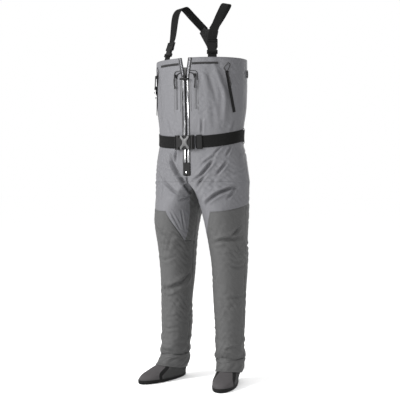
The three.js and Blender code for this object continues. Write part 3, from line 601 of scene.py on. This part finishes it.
# Folds of the back, the same on both sides but for a shift in height.
for SIDE_SIGN, DROP in ((1, 0), (-1, 14)):
    CREASES += [
        (SIDE_SIGN, 10, 8.0, (232, 800 - DROP), (200, 792 - DROP), (160, 798), (118, 818)),
        (SIDE_SIGN, 8, 5.0, (222, 752), (180, 744 - DROP), (140, 752)),
        (SIDE_SIGN, 10, 6.0, (236, 610), (200, 590 - DROP), (150, 584), (110, 600)),
        (SIDE_SIGN, 9, 5.0, (225, 548 - DROP), (180, 536), (130, 550)),
        (SIDE_SIGN, 10, 4.5, (215, 400), (170, 385 + DROP), (125, 398)),
        (SIDE_SIGN, 9, 4.0, (220, 262), (170, 250 - DROP), (120, 262)),
        (SIDE_SIGN, 9, 4.5, (230, 170), (180, 158 + DROP), (120, 170)),
        (SIDE_SIGN, 11, 5.0, (100, 1006), (128, 976 - DROP), (165, 950)),
        (SIDE_SIGN, 9, 4.0, (150, 1012), (166, 980)), (SIDE_SIGN, 9, 4.0, (118, 1130), (124, 1076)),
        (SIDE_SIGN, 12, 3.5, (150, 1160 + DROP), (146, 1074)), (SIDE_SIGN, 18, 2.5, (130, 1330), (136, 1190)),
        (SIDE_SIGN, 11, 5.0, (172, 915), (140, 890 - DROP), (108, 880)),
    ]


def crease_field(side, points):
    """Sum of fold profiles over points of the surface: a valley between two soft shoulders.

    Each fold runs along a curve on the surface and fades towards its ends.
    """
    total = np.zeros(points.shape[:-1])
    for which, wide, deep, *knots in CREASES:
        if which != side:
            continue
        angle, z = np.array(knots, float).T
        line = spline(body(side, 0.25 + angle / 360, z), 48)
        near = ((points > line.min(0) - 3 * wide) & (points < line.max(0) + 3 * wide)).all(-1)
        if not near.any():
            continue
        gap = np.linalg.norm(points[near][:, None] - line[None], axis=-1)
        along = gap.argmin(1) / 47
        q = gap.min(1) / wide
        fade = np.sin(np.pi * np.clip(along, 0.02, 0.98)) ** 0.6
        total[near] += deep * fade * (0.5 * np.exp(-(q - 1.3) ** 2 * 1.8) - np.exp(-q ** 2 * 2.2))
    return total


RANDOM = np.random.default_rng(11)


def waves(count, low, high):
    """Random plane waves in space: direction scaled by wave number, and phase."""
    way = unit(RANDOM.normal(size=(count, 3)) * [1, 1, 1.4])
    return way * (TAU / RANDOM.uniform(low, high, count))[:, None], RANDOM.uniform(0, TAU, count)


SLOW, RUMPLE, PATCH = waves(8, 150, 320), waves(9, 34, 80), waves(5, 120, 260)


def drape(points):
    """Slow undulation of loose cloth, and sharp little rumples gathered into patches."""
    slow = sum(np.sin(points @ k + p) for k, p in zip(*SLOW)) * 0.75
    bend = points + 11 * np.sin(points[..., [1, 2, 0]] / 37)
    sharp = sum(np.abs(np.sin(bend @ k + p)) - 0.64 for k, p in zip(*RUMPLE))
    patch = np.clip(0.55 + 0.3 * sum(np.sin(points @ k + p) for k, p in zip(*PATCH)), 0, 1.4)
    z = points[..., 2]
    loose = np.interp(z, [100, 150, 260, 480, 600, 700, 860, 1000, 1060, 1397],
                      [1.2, 1.3, 1.1, 0.8, 1.0, 0.9, 0.85, 0.85, 0.45, 0.4])
    return (slow + sharp * patch * 1.15) * loose


def cuff(points):
    """Cloth blousing over the bootie: a swell of wandering height above a pinched fold."""
    x, y, z = points[..., 0], points[..., 1], points[..., 2]
    wander = np.sin(x / 21 + 1) + np.sin(y / 26 - x / 47) + 0.5 * np.sin(y / 11 + 2)
    swell = 6.5 * np.exp(-((z - 132 - 9 * wander) / 14) ** 2) + 3 * np.exp(-((z - 176 + 9 * wander) / 9) ** 2)
    return swell - 5.5 * np.exp(-((z - 105 - 5 * wander) / 6) ** 2)


def relief(side, points):
    """Sum of the folds, the drape and the cuff's swell: how far out the cloth is pushed, in mm."""
    return crease_field(side, points) + drape(points) + cuff(points)


def seam_dip(distance, wide=5.0):
    """Bell curve of the distance from a seam: one on it, fading over the width."""
    return np.exp(-(distance / wide) ** 2)


def cloth_panel(name, side, turn, z, material, nodes, slot, edges, lining=None, still=0.0):
    """Panel of the garment: its surface, moved along its normal by the folds and pulled in at seams."""
    angle = (turn - 0.25) * 360
    base = body(side, turn, z)
    move = relief(side, base) * (1 - still)
    pull = seam_dip(edges)
    point = base + outward(side, turn, z) * (move * (1 - 0.6 * pull) - 0.9 * pull)[..., None]
    point[..., 2] = z
    # Painted shade: how deep each point lies in a fold's valley, to darken the cloth there.
    marks = {"crease": np.clip(-crease_field(side, base) / 13, 0, 1), "seam": pull}
    # Mask of the dark inner thigh, partly the dark gusset and partly painted shade; its edge follows the
    # shadow at the crotch.
    if "thigh" in name:
        inner = np.where(angle > 90, 180 - angle, angle)
        edge = np.interp(z, [612, 660, 740, 830, CROTCH], [-58, -66, -67, -53, -66])
        marks["gusset"] = edge - inner
    cloth = np.stack([angle * 2.4, z], -1)
    if side < 0:
        point, cloth = point[:, ::-1], cloth[:, ::-1]
        marks = {key: value[:, ::-1] for key, value in marks.items()}
    piece = make(name, point, material, slot=slot, cloth=cloth, thick=1.4, lining=lining, marks=marks)
    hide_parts(*nodes)
    return piece


def turn_at(x, z):
    """Turn of the section at a distance from the middle: the arcsine of distance over half width."""
    return 0.25 + np.arcsin(x / read(TORSO, np.maximum(z, CROTCH))[0]) / TAU


def zip_spread(z):
    """How far each zip half stands aside: nothing up to the slider, then a straight rise."""
    return ZIP_SPREAD * np.maximum(0, (z - ZIP_SLIDER) / (CHEST_TOP - ZIP_SLIDER))


def still_near(angle, z):
    """How far the cloth is held flat: along the main zip, the top hem and under the belt."""
    s = np.abs(angle) * 3.2
    by_zip = np.exp(-(s / 42) ** 4) * (z > ZIP_BOTTOM - 8)
    belt = belt_height(angle)
    by_belt = np.exp(-((z - belt) / 34) ** 4)
    by_top = np.exp(-((CHEST_TOP - z) / 22) ** 2) * 0.7
    return np.clip(np.maximum(np.maximum(by_zip, by_belt), by_top), 0, 1)


def belt_height(angle):
    """Middle line of the belt: a cosine rise from the front to the sides, then level round the back."""
    return BELT_FRONT + BELT_RISE * (1 - np.cos(np.radians(np.minimum(np.abs(angle), 90))))


def make_torso():
    """Chest fronts and back: the body section at each height, pushed out by the folds.

    Rows go up from the crotch. Columns go from the zip to the side seam, and on the back from
    side to side, with the left and right folds mixed over the middle.
    """
    rows = np.concatenate([np.linspace(CROTCH, ZIP_BOTTOM, 10)[:-1], np.linspace(ZIP_BOTTOM, CHEST_TOP, 165)])
    z = rows[:, None] + np.zeros((1, 105))
    for side in (1, -1):
        edge = np.where(rows < ZIP_BOTTOM, 0.05, ZIP_TAPE + 0.4 + zip_spread(rows))
        start = turn_at(edge, rows)[:, None]
        turn = start + (0.5 - start) * np.linspace(0, 1, 105)
        angle = (turn - 0.25) * 360
        away = np.minimum(np.minimum((0.5 - turn) * 1150, CHEST_TOP - z + 3.0), (turn - start) * 1300)
        cloth_panel(f"chest_front_{WORD[side]}_cloth", side, turn, z, LIGHT, [f"chest_front_{WORD[side]}"],
                    "light_fabric", away, LINING, still_near(angle, z))
    rows = np.linspace(CROTCH, CHEST_TOP, 160)
    z = rows[:, None] + np.zeros((1, 181))
    share = np.linspace(-1, 1, 181)[None, :]
    turn = 0.75 - np.abs(share) * 0.25 + np.zeros_like(z)
    angle = (turn - 0.25) * 360
    away = np.minimum((turn - 0.5) * 1150, CHEST_TOP - z + 3.0)
    halves = []
    for side in (1, -1):
        move = relief(side, body(side, turn, z)) * (1 - still_near(angle, z))
        pull = seam_dip(away)
        offset = move * (1 - 0.6 * pull) - 0.9 * pull
        halves.append((body(side, turn, z), outward(side, turn, z), offset,
                       np.clip(-crease_field(side, body(side, turn, z)) / 13, 0, 1), pull))
    mix = np.clip(0.5 + share * 4, 0, 1)
    left = (share < 0)[..., None]
    point = np.where(left, halves[0][0], halves[1][0])
    normal = np.where(left, halves[0][1], halves[1][1])
    offset = halves[0][2] * (1 - mix) + halves[1][2] * mix
    # Painted shade in the back's fold valleys, mixed over the middle like the folds.
    painted_crease_shade = halves[0][3] * (1 - mix) + halves[1][3] * mix
    point = point + normal * offset[..., None]
    cloth = np.stack([share * 430 + np.zeros_like(z), z], -1)
    point[..., 2] = z
    piece = make("back_panel_cloth", point, LIGHT, slot="light_fabric", cloth=cloth, thick=1.4,
                 lining=LINING, marks={"crease": painted_crease_shade, "seam": halves[0][4]})
    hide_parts("back_panel")


def shin_edge(turn):
    """Top of the dark panel: a cosine rise from front to back round the outside, a straight fall inside."""
    angle = (turn - 0.25) * 360
    outside = np.clip(angle, -SHIN_CORNER, 180 + SHIN_CORNER)
    high = SHIN_FRONT + SHIN_RISE * (1 - np.cos(np.radians(outside)))
    fall = np.minimum(np.abs(angle - outside) / (SHIN_APEX - SHIN_CORNER), 1)
    return high + (SHIN_LOW - high) * fall


def make_legs():
    """Thigh and shin panels: the leg section pushed out by the folds.

    Rows are spaced evenly between the dark panel's edge and the crotch or the cuff.
    """
    for side in (1, -1):
        for half, (start, end) in {"front": (0.0, 0.5), "back": (0.5, 1.0)}.items():
            turn = np.linspace(start, end, 110)[None, :]
            edge = shin_edge(turn)
            for part, top, foot, rows, material, slot in (
                    ("thigh", CROTCH + 0 * edge, edge, 85, LIGHT, "light_fabric"),
                    ("shin", edge, CUFF + 0 * edge, 200, DARK, "dark_fabric")):
                share = np.linspace(1, 0, rows)[:, None]
                z = foot + (top - foot) * share
                t = turn + np.zeros_like(z)
                sides = np.minimum(t - start, end - t) * 520
                away = np.minimum(sides, np.abs(z - edge) + 1.0)
                cloth_panel(f"{part}_{half}_{WORD[side]}_cloth", side, t[::-1], z[::-1], material,
                            [f"{part}_{half}_{WORD[side]}"], slot, away[::-1])


make_torso()
make_legs()


# ------------------------------------------------------------------ feet and cuffs


def foot_point(side, q, z, inset=0.0):
    """Outline of a foot seen from above: q is 0 at the toe and half a circle at the heel."""
    q, z = np.broadcast_arrays(np.asarray(q, float), np.asarray(z, float))
    toe, heel, wide, bias = read(FOOT, np.clip(z, SOLE_TOP, BOOTIE_TOP))
    turn = side * math.radians(TOE_OUT)
    x = (wide - inset) * np.sin(q) * (1 + bias * np.cos(q))
    y = (heel - toe) / 2 - ((toe + heel) / 2 - inset) * np.cos(q)
    return np.stack([side * FOOT_X + x * math.cos(turn) - y * math.sin(turn),
                     FOOT_Y + x * math.sin(turn) + y * math.cos(turn), z], -1)


def normals(points, inside):
    """Normals of a grid of points, turned away from a point inside."""
    n = unit(np.cross(np.gradient(points, axis=0), np.gradient(points, axis=1)))
    return np.where(((points - inside) * n).sum(-1, keepdims=True) < 0, -n, n)


def make_foot(side):
    """Bootie: the foot outline carried up from a sole line that is highest at the toe.

    A tape over the instep, a seam just above the sole and small waves near the top lift the knit
    along its normal. The sole is a stack of outlines, drawn in more the nearer they are to the floor.
    """
    word = WORD[side]
    q = np.linspace(0, TAU, 181)[None, :]
    rise = 10 + 7 * (1 + np.cos(q)) / 2
    share = np.linspace(0, 1, 76)[:, None]
    z = rise + (BOOTIE_TOP - rise) * share
    points = foot_point(side, q, z)
    # The tape runs over the instep and down to the sole on both sides.
    t = np.linspace(-1, 1, 121)
    line = foot_point(side, TAPE_REACH * t, SOLE_TOP + 55 * (1 - np.abs(t) ** 3.2))
    gap = np.linalg.norm(points[:, :, None] - line[None, None], axis=-1).min(-1)
    tape = 8.5 - gap
    toe_seam = 3.0 - np.abs(z - rise - 4)
    out = normals(points, np.array([side * FOOT_X, -40, 40.0]))
    soft = 0.5 + 0.5 * np.tanh(tape / 1.2)
    wave = 0.7 * np.sin(q * 9 + z / 9) * np.exp(-((z - 92) / 16) ** 2)
    lift = 0.7 * soft + wave + 0.35 * np.tanh(toe_seam)
    heel = np.clip((np.abs(np.where(q > math.pi, q - TAU, q)) - TAPE_REACH) * 6
                   + (z - SOLE_TOP) * 0.04, 0, 1)
    cloth = np.stack(np.broadcast_arrays(q * 70, z), -1)
    upper = make(f"bootie_upper_{word}_knit", points + out * lift[..., None], KNIT,
                 slot="neoprene", cloth=cloth,
                 marks={"tape": tape, "heel": heel, "seam": np.maximum(toe_seam, 0) / 3})
    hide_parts(f"bootie_upper_{word}")
    rings = []
    for level, draw in ((0.0, 6.0), (0.6, 3.6), (2.2, 1.4), (5.0, 0.2), (10.0, -0.6), (None, -1.2),
                        (None, 0.6)):
        height = rise[0] + (0.0 if draw < 0 else 1.0) if level is None else level + 0 * q[0]
        ring = foot_point(side, q[0, :-1], np.maximum(SOLE_TOP, height[:-1]), draw)
        ring[:, 2] = height[:-1]
        rings.append(ring)
    sole = closed(f"bootie_sole_{word}_coat", np.array(rings), SOLE, slot="sole_rubber")
    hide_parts(f"bootie_sole_{word}")


def make_guard(side):
    """Gravel guard: at each angle a smooth curve goes down through six rings to the hem.

    A shallow ripple and a dip at the hem's seam are added along the normal.
    """
    word = WORD[side]
    q = np.linspace(math.pi, 3 * math.pi, 145)[:-1]
    turn = (0.25 + side * q / TAU) % 1
    hem = 38 + 28 * (1 + np.cos(q)) / 2
    ease = 1.4 * np.sin(7 * q + side) + 1.0 * np.sin(4 * q + 2 + side)
    rows = [body(side, turn, 108 + 0 * q, -0.8), body(side, turn, 101 + 0 * q, -4.5),
            foot_point(side, q, 88, -8.5 - ease), foot_point(side, q, (hem + 88) / 2, -9 - ease * 1.3),
            foot_point(side, q, hem + 6, -8 - ease), foot_point(side, q, hem, -6.5 - ease * 0.6)]
    grid = np.stack([spline(np.array([row[k] for row in rows]), 30) for k in range(len(q))], 1)
    across = np.linspace(0, 1, 30)[:, None]
    seam = seam_dip((1 - across) * 60 - 12, 3) + 0 * q
    ripple = 0.9 * np.sin(11 * q + 9 * across + side) * np.sin(math.pi * across)
    ringed = np.hstack([grid[:, -1:], grid, grid[:, :1]])
    out = normals(ringed, np.array([side * FOOT_X, FOOT_Y, 85.0]))[:, 1:-1]
    cloth = np.stack(np.broadcast_arrays(q * 75, across * 60), -1)
    shape = grid + out * (ripple - 0.8 * seam)[..., None]
    # Painted shade in the valleys of the guard's ripple, through the crease mark.
    guard = make(f"gravel_guard_{word}_cloth", shape[::-1], DARK, slot="dark_fabric", cloth=cloth[::-1],
                 thick=1.4, lining=LINING_DARK, wrap=(False, True),
                 marks={"crease": np.clip(-ripple, 0, 1)[::-1] * 0.5, "seam": seam[::-1]})
    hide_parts(f"gravel_guard_{word}")


for side in (1, -1):
    make_foot(side)
    make_guard(side)

# ------------------------------------------------------------------ main zip


def zip_strip(name, side, start, end, profile, material, slot, top=CHEST_TOP, rows=130, **how):
    """Strip along the front line between two distances from its middle, with a raised profile."""
    z = np.linspace(TAPE_FOOT, top, rows)[:, None]
    share = np.linspace(0, 1, len(profile))[None, :]
    x = side * (start + (end - start) * share + zip_spread(z))
    out = np.asarray(profile)[None, :] + 0 * z
    if "teeth" in how:
        out = out + how.pop("teeth")(z, share)
    points = np.stack([x + 0 * out, front_line(z) - out, z + 0 * out], -1)
    cloth = np.stack(np.broadcast_arrays(share * (end - start), z), -1)
    piece = make(name, points if side > 0 else points[:, ::-1], material, slot=slot,
                 cloth=cloth if side > 0 else cloth[:, ::-1], **how)
    return piece


def make_main_zip():
    """Tapes, edges and teeth as strips up the front line.

    The teeth add a square wave of the height to their profile, out of step on the two sides.
    """
    for side in (1, -1):
        word = WORD[side]
        tape = zip_strip(f"main_zip_tape_{word}_gloss", side, 3.3, 13.4,
                         [0.0, 0.5, 1.3, 1.8, 1.9, 1.7, 1.1, 0.5, 0.2], COATED, "coated_tape", thick=1.0)
        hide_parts(f"main_zip_tape_{word}")
        zip_strip(f"main_zip_edge_{word}", side, 13.2, 17.4, [0.2, 1.0, 1.2, 1.1, 0.9, -0.6], PIPING,
                  "coated_tape", thick=0.8)
        teeth = (lambda z, share: 0.6 * np.sign(np.sin(TAU * z / 4.4 + (0 if side > 0 else math.pi)))
                 * (share > 0.1) * (share < 0.9))
        zip_strip(f"main_zip_teeth_{word}", side, 0.3, 3.5, [-0.6, 1.3, 1.6, 1.6, 1.2, -0.4], TRACK,
                  "coated_tape", rows=406, teeth=teeth, thick=0.6)


def dome(name, centre, normal, radius, rise, material, slot):
    """Low round cap: its rings fall from the middle as the square root of what is left."""
    normal = unit(np.asarray(normal, float))
    side = unit(np.cross(normal, [0.3, 0.9, 0.2]))
    other = np.cross(normal, side)
    q = np.linspace(0, TAU, 24, endpoint=False)
    rings = []
    for r in (1.0, 1.0, 0.93, 0.75, 0.5, 0.2):
        up = 0 if not rings else rise * math.sqrt(max(0.0, 1 - r ** 2) * 0.75 + 0.25)
        rings.append(np.asarray(centre) + normal * up
                     + radius * r * (np.cos(q)[:, None] * side + np.sin(q)[:, None] * other))
    return closed(name, np.array(rings), material, body="garment", slot=slot)


make_main_zip()
refine("main_zip_bottom_dock", PLASTIC, 1.2)
refine("main_zip_slider", PLASTIC, 0.7)
refine("main_zip_pull", PLASTIC, 0.7)
stud_z = ZIP_BOTTOM + 12
dome("main_zip_stud_cap", (0, front_line(stud_z) - 4.9, stud_z), (0, -1, 0), 3.6, 1.2, STEEL, "plastic")

# ------------------------------------------------------------------ belt


def belt_point(angle, lift, offset):
    """Point at an angle round the waist: a lift above the belt's middle line, an offset off the section."""
    angle = np.asarray(angle, float)
    turn = 0.25 + np.abs(angle) / 360
    z = belt_height(angle) + lift
    left, right = body(1, turn, z, -offset), body(-1, turn, z, -offset)
    return np.where((angle < 0)[..., None], right, left)


def front_angle(x):
    """Angle round the waist, in degrees, at a distance from the middle: an arcsine, as in turn_at."""
    return math.degrees(math.asin(x / read(TORSO, np.array(float(BELT_FRONT)))[0]))


def make_belt():
    """Belt: a band round the waist, from one side of the buckle to the other.

    Across, its face is crowned by one less the eighth power of the distance from its middle.
    Along, it has two slow sine ripples.
    """
    start, end = front_angle(BELT_START), 360 + front_angle(BELT_END)
    turned = np.linspace(start, end, 320)
    angle = np.where(turned > 180, turned - 360, turned)
    across = np.linspace(-1, 1, 15)
    middle = belt_point(angle, 0, 0)
    run = np.concatenate([[0], np.cumsum(np.linalg.norm(np.diff(middle, axis=0), axis=1))])
    ripple = 0.5 * np.sin(run / 46) + 0.3 * np.sin(run / 19 + 1)
    half = BELT_WIDTH / 2
    rows = [belt_point(angle, half * u, 2.9 + 1.3 * (1 - u ** 8) + ripple * (1 - 0.4 * u)) for u in across]
    points = np.stack(rows, 1)
    cloth = np.stack(np.broadcast_arrays(across[None, :] * half, run[:, None]), -1)
    belt = make("belt_webbing_weave", points[:, ::-1], WEB, slot="webbing", cloth=cloth[:, ::-1], thick=2.0)
    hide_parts("belt_webbing")


def plate(name, outline, centre, right, up, thick, material, body="garment", slot=None, edge=0.8):
    """Flat outline with softened edges: rings shrink over the edge radius on both faces."""
    outline = np.asarray(outline, float)
    right, up = unit(np.asarray(right, float)), unit(np.asarray(up, float))
    out = np.cross(right, up)
    tangent = unit(np.roll(outline, -1, 0) - np.roll(outline, 1, 0))
    inward = np.stack([-tangent[:, 1], tangent[:, 0]], 1)
    if (inward * (outline.mean(0) - outline)).sum() < 0:
        inward = -inward
    rings = []
    for depth, draw in ((-0.5, edge), (-0.5 + edge / thick, 0), (0.5 - edge / thick, 0),
                        (0.5 - edge / thick * 0.3, edge * 0.3), (0.5, edge)):
        flat = outline + inward * draw
        rings.append(np.asarray(centre) + flat[:, :1] * right + flat[:, 1:] * up + out * depth * thick)
    return closed(name, np.array(rings), material, body=body, slot=slot)


def make_buckle_highlight():
    """Grey X on the belt buckle, a painted highlight for the light caught on its edges: a plate inside a
    smooth closed curve through its corners.
    """
    corners = [(21, 27), (15, 28), (4, 16), (-4, 16), (-15, 28), (-21, 27), (-21, 20), (-11, 6), (-11, -6),
               (-21, -20), (-21, -27), (-15, -28), (-4, -16), (4, -16), (15, -28), (21, -27), (21, -20),
               (11, -6), (11, 6), (21, 20)]
    shape = spline(np.array(corners, float), 121, closed=True)[:-1]
    middle = belt_point(np.array(front_angle(0)), 0, 4 + 13 + 0.6)
    # Painted highlight: a grey X plate laid on the black buckle.
    plate("belt_buckle_highlight", shape, middle, (1, 0, 0), (0, -0.036, 1), 2.4, HIGHLIGHT_GREY, slot="plastic")


def make_loops():
    """Cloth bands sewn above and below the belt.

    Their offset rises from each end as a power of the distance, to a level stretch over the belt.
    """
    lift = np.linspace(-36, 36, 49)
    offset = 0.8 + 5.6 * np.clip((35 - np.abs(lift)) / 9, 0, 1) ** 0.7
    for side in (1, -1):
        angle = np.linspace(-3.4, 3.4, 13) + side * LOOP_ANGLE
        points = np.stack([belt_point(angle, z, up) for z, up in zip(lift, offset)])
        cloth = np.stack(np.broadcast_arrays(angle[None, :] * 3.3, lift[:, None]), -1)
        loop = make(f"belt_loop_{WORD[side]}_cloth", points, LOOP, slot="light_fabric", cloth=cloth,
                    thick=1.6)
        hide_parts(f"belt_loop_{WORD[side]}")


make_belt()
make_loops()
make_buckle_highlight()
for part in ("socket", "plug", "arm_left", "arm_right"):
    refine(f"belt_buckle_{part}", PLASTIC, 1.0)
    for word in ("left", "right"):
        refine(f"strap_{word}_buckle_{part}", PLASTIC, 0.7)
refine("belt_keeper", PLASTIC, 1.0)
for word in ("left", "right"):
    refine(f"strap_tab_{word}", WEB_OBJECT, 0.5)
    refine(f"chest_web_{word}", WEB_GREY_OBJECT, 0.5)

# ------------------------------------------------------------------ pockets

LIFT = 1.2


def on_front(side, x, z, lift=LIFT):
    """Point on the chest at a distance from the zip's middle and a height."""
    x, z = np.asarray(x, float), np.asarray(z, float)
    return body(side, turn_at(x, z), z, -lift)


def tube(name, path, radius, material, body="garment", slot=None, count=60):
    """Cord of square section with rounded corners along a smooth curve."""
    path = spline(path, count)
    across = unit(np.cross(np.gradient(path, axis=0), [0.21, 0.4, 0.9]))
    return band(name, path, across, 2 * radius, 2 * radius, material, body=body, slot=slot)


def make_pocket_lines():
    """Pocket outlines, cord loops and welded seams: cords along smooth curves laid on the chest."""
    for side in (1, -1):
        word = WORD[side]
        garage = [(17.5, 1342), (34, 1341.5), (48, 1339), (54, 1332), (55, 1318), (55, 1300)]
        tube(f"chest_pocket_{word}_garage", on_front(side, *np.array(garage, float).T), 1.3, PIPING,
             slot="coated_tape", count=90)
        inner = [(17.5, 1334), (26, 1333), (35, 1329), (40, 1321), (41, 1310)]
        tube(f"chest_pocket_{word}_cord_loop", on_front(side, *np.array(inner, float).T, 2.0), 1.5, PLASTIC,
             slot="plastic", count=70)
        for k, (x, top, end) in enumerate(((57, 1296, 1160), (25, 1300, 1170))):
            line = np.stack([np.full(9, float(x)), np.linspace(top, end, 9)])
            tube(f"chest_pocket_{word}_weld_{k}", on_front(side, *line, 0.5), 0.8, WELDED,
                 slot="light_fabric", count=90)


def pull_cord(label, body_name, side, bend, material):
    """Knotted cord that stands for a straight pull, hanging from the same eye.

    Two cords lie side by side along one smooth curve, and the knot is a stack of ellipses. With no
    bend the curve keeps to the pull's own slanting line.
    """
    low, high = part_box(f"{label}_pull")
    low, high = (np.array(low) - SHIFT) / MM, (np.array(high) - SHIFT) / MM
    middle = (low + high) / 2
    eye = np.array([middle[0], middle[1], high[2] - 3])
    end = np.array([middle[0], middle[1], low[2] + 2])
    if not bend:
        near, far = (low[0] + 2.5, high[0] - 2.5) if side > 0 else (high[0] - 2.5, low[0] + 2.5)
        eye[:2], end[:2] = (near, low[1] + 3), (far, high[1] - 3)
    path = np.array([eye, eye + (end - eye) * 0.3 + [bend * 3, -abs(bend), 0],
                     eye + (end - eye) * 0.65 + [bend * 2.4, -1.6 * abs(bend), 0], end])
    for k, aside in enumerate((-1.2, 1.2)):
        tube(f"{label}_cord_{k}", path + [aside, 0, 0], 1.15, material, body=body_name, slot="plastic",
             count=40)
    q = np.linspace(0, TAU, 16, endpoint=False)
    rings = []
    for along, wide in ((0, 1.2), (1, 2.6), (3, 3.4), (7, 3.2), (10, 3.5), (11.5, 2.4), (12, 1.0)):
        rings.append(end + [0, 0, 5 - along] + wide * np.stack([np.cos(q), 0.75 * np.sin(q), 0 * q], 1))
    knot = closed(f"{label}_knot", np.array(rings), material, body=body_name, slot="plastic")
    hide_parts(f"{label}_pull")


make_pocket_lines()
for side in (1, -1):
    word = WORD[side]
    for pocket, zip_paint in (("chest", POCKET_TRACK), ("side", TRACK)):
        label = f"{pocket}_pocket_{word}"
        refine(f"{label}_zip", zip_paint, 0.5)
        refine(f"{label}_slider", PLASTIC, 0.5)
        pull_cord(label, BODY_OF[f"{label}_pull"], side, side * (pocket == "chest"), CORD)
    corners = np.array([(52.5, 1336), (48.5, 1350), (55, 1374), (58, 1366), (54, 1340)], float)
    ring = np.vstack([corners, corners[:1]])
    even = np.linspace(0, len(corners), 61)
    tab = np.stack([np.interp(even, np.arange(len(ring)), ring[:, k]) for k in (0, 1)], 1)
    path = body(side, 0.25 + tab[:, 0] / 360, tab[:, 1], -LIFT)
    tube(f"side_pocket_{word}_garage", path, 1.4, PIPING, slot="coated_tape", count=121)

# ------------------------------------------------------------------ straps and yoke


def make_strap(side):
    """Shoulder strap: a thin band along a smooth curve, its width direction turning from point to point.

    Its last stretch runs on beyond the frame's own strap, over a gap, to the yoke.
    """
    word = WORD[side]
    lean, turn = math.radians(STRAP_LEAN), math.radians(STRAP_TURN)
    inward = np.array([-side * math.sin(turn), math.cos(turn), 0])
    up = np.array([0, 0, math.cos(lean)]) + inward * math.sin(lean)
    foot = np.array([side * STRAP_FOOT[0], *STRAP_FOOT[1:]])
    over = [(112, -25, 1612), (110, 13, 1644), (106, 41, 1647), (74, 57, 1610), (34, 68, 1565),
            (17, 74, 1546)]
    facing = [(0.9, 0.44, 0), (0.93, 0.36, 0), (1, 0.1, 0), (0.98, 0.05, -0.15), (0.95, 0.12, -0.3),
              (0.8, 0.2, -0.58), (0.75, 0.22, -0.63), (0.75, 0.22, -0.63)]
    points = [foot + up * STRAP_START, foot + up * (STRAP_START + 18)]
    points += [np.array([side * a, b, c]) for a, b, c in over]
    widths = [np.array([a, side * b, side * c]) for a, b, c in facing]
    path = spline(np.hstack([points, widths]), 150)
    strap = band(f"shoulder_strap_{word}_weave", path[:, :3], path[:, 3:], STRAP_WIDTH, 2.0, WEB,
                 slot="webbing")
    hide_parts(f"shoulder_strap_{word}")


for side in (1, -1):
    make_strap(side)
refine("back_yoke", YOKE_FACE, 0.9)

# ------------------------------------------------------------------ ring and loop on the sides


def make_rings():
    """D-ring: a round bar swept along a straight top edge and a half circle below it."""
    turn = 0.25 + D_RING_TURN / 360
    here, ahead = body(-1, turn, D_RING_HEIGHT), body(-1, turn + 1 / 360, D_RING_HEIGHT)
    along = unit(here - ahead)
    out = np.cross(along, [0, 0, 1])
    out = out if out[0] < 0 else -out
    centre = here + out * D_RING_STAND
    q = np.linspace(0, math.pi, 25)
    reach = D_RING_WIDTH / 2 - D_RING_BAR / 2
    flat = [(reach * math.cos(a), -11 - reach * math.sin(a)) for a in q]
    flat += [(-reach, -1), (-reach + 1.4, 0.6), (0, 0.6), (reach - 1.4, 0.6), (reach, -1)]
    corners = np.array([centre + along * x + np.array([0, 0, z]) for x, z in flat])
    loop = spline(corners, 161, closed=True)[:-1]
    tangent = unit(np.roll(loop, -1, 0) - np.roll(loop, 1, 0))
    side = np.cross(tangent, out)
    a = np.linspace(0, TAU, 16, endpoint=False)
    section = np.cos(a)[None, :, None] * side[:, None] + np.sin(a)[None, :, None] * out
    ring = loop[:, None] + 1.75 * section
    piece = make("d_ring_round", ring, STEEL, body=BODY_OF["d_ring"], slot="steel", wrap=(True, True))
    tidy(piece)
    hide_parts("d_ring")


make_rings()
refine("d_ring_tab", WEB_OBJECT, 0.6)
refine("side_loop", PLASTIC, 1.2)
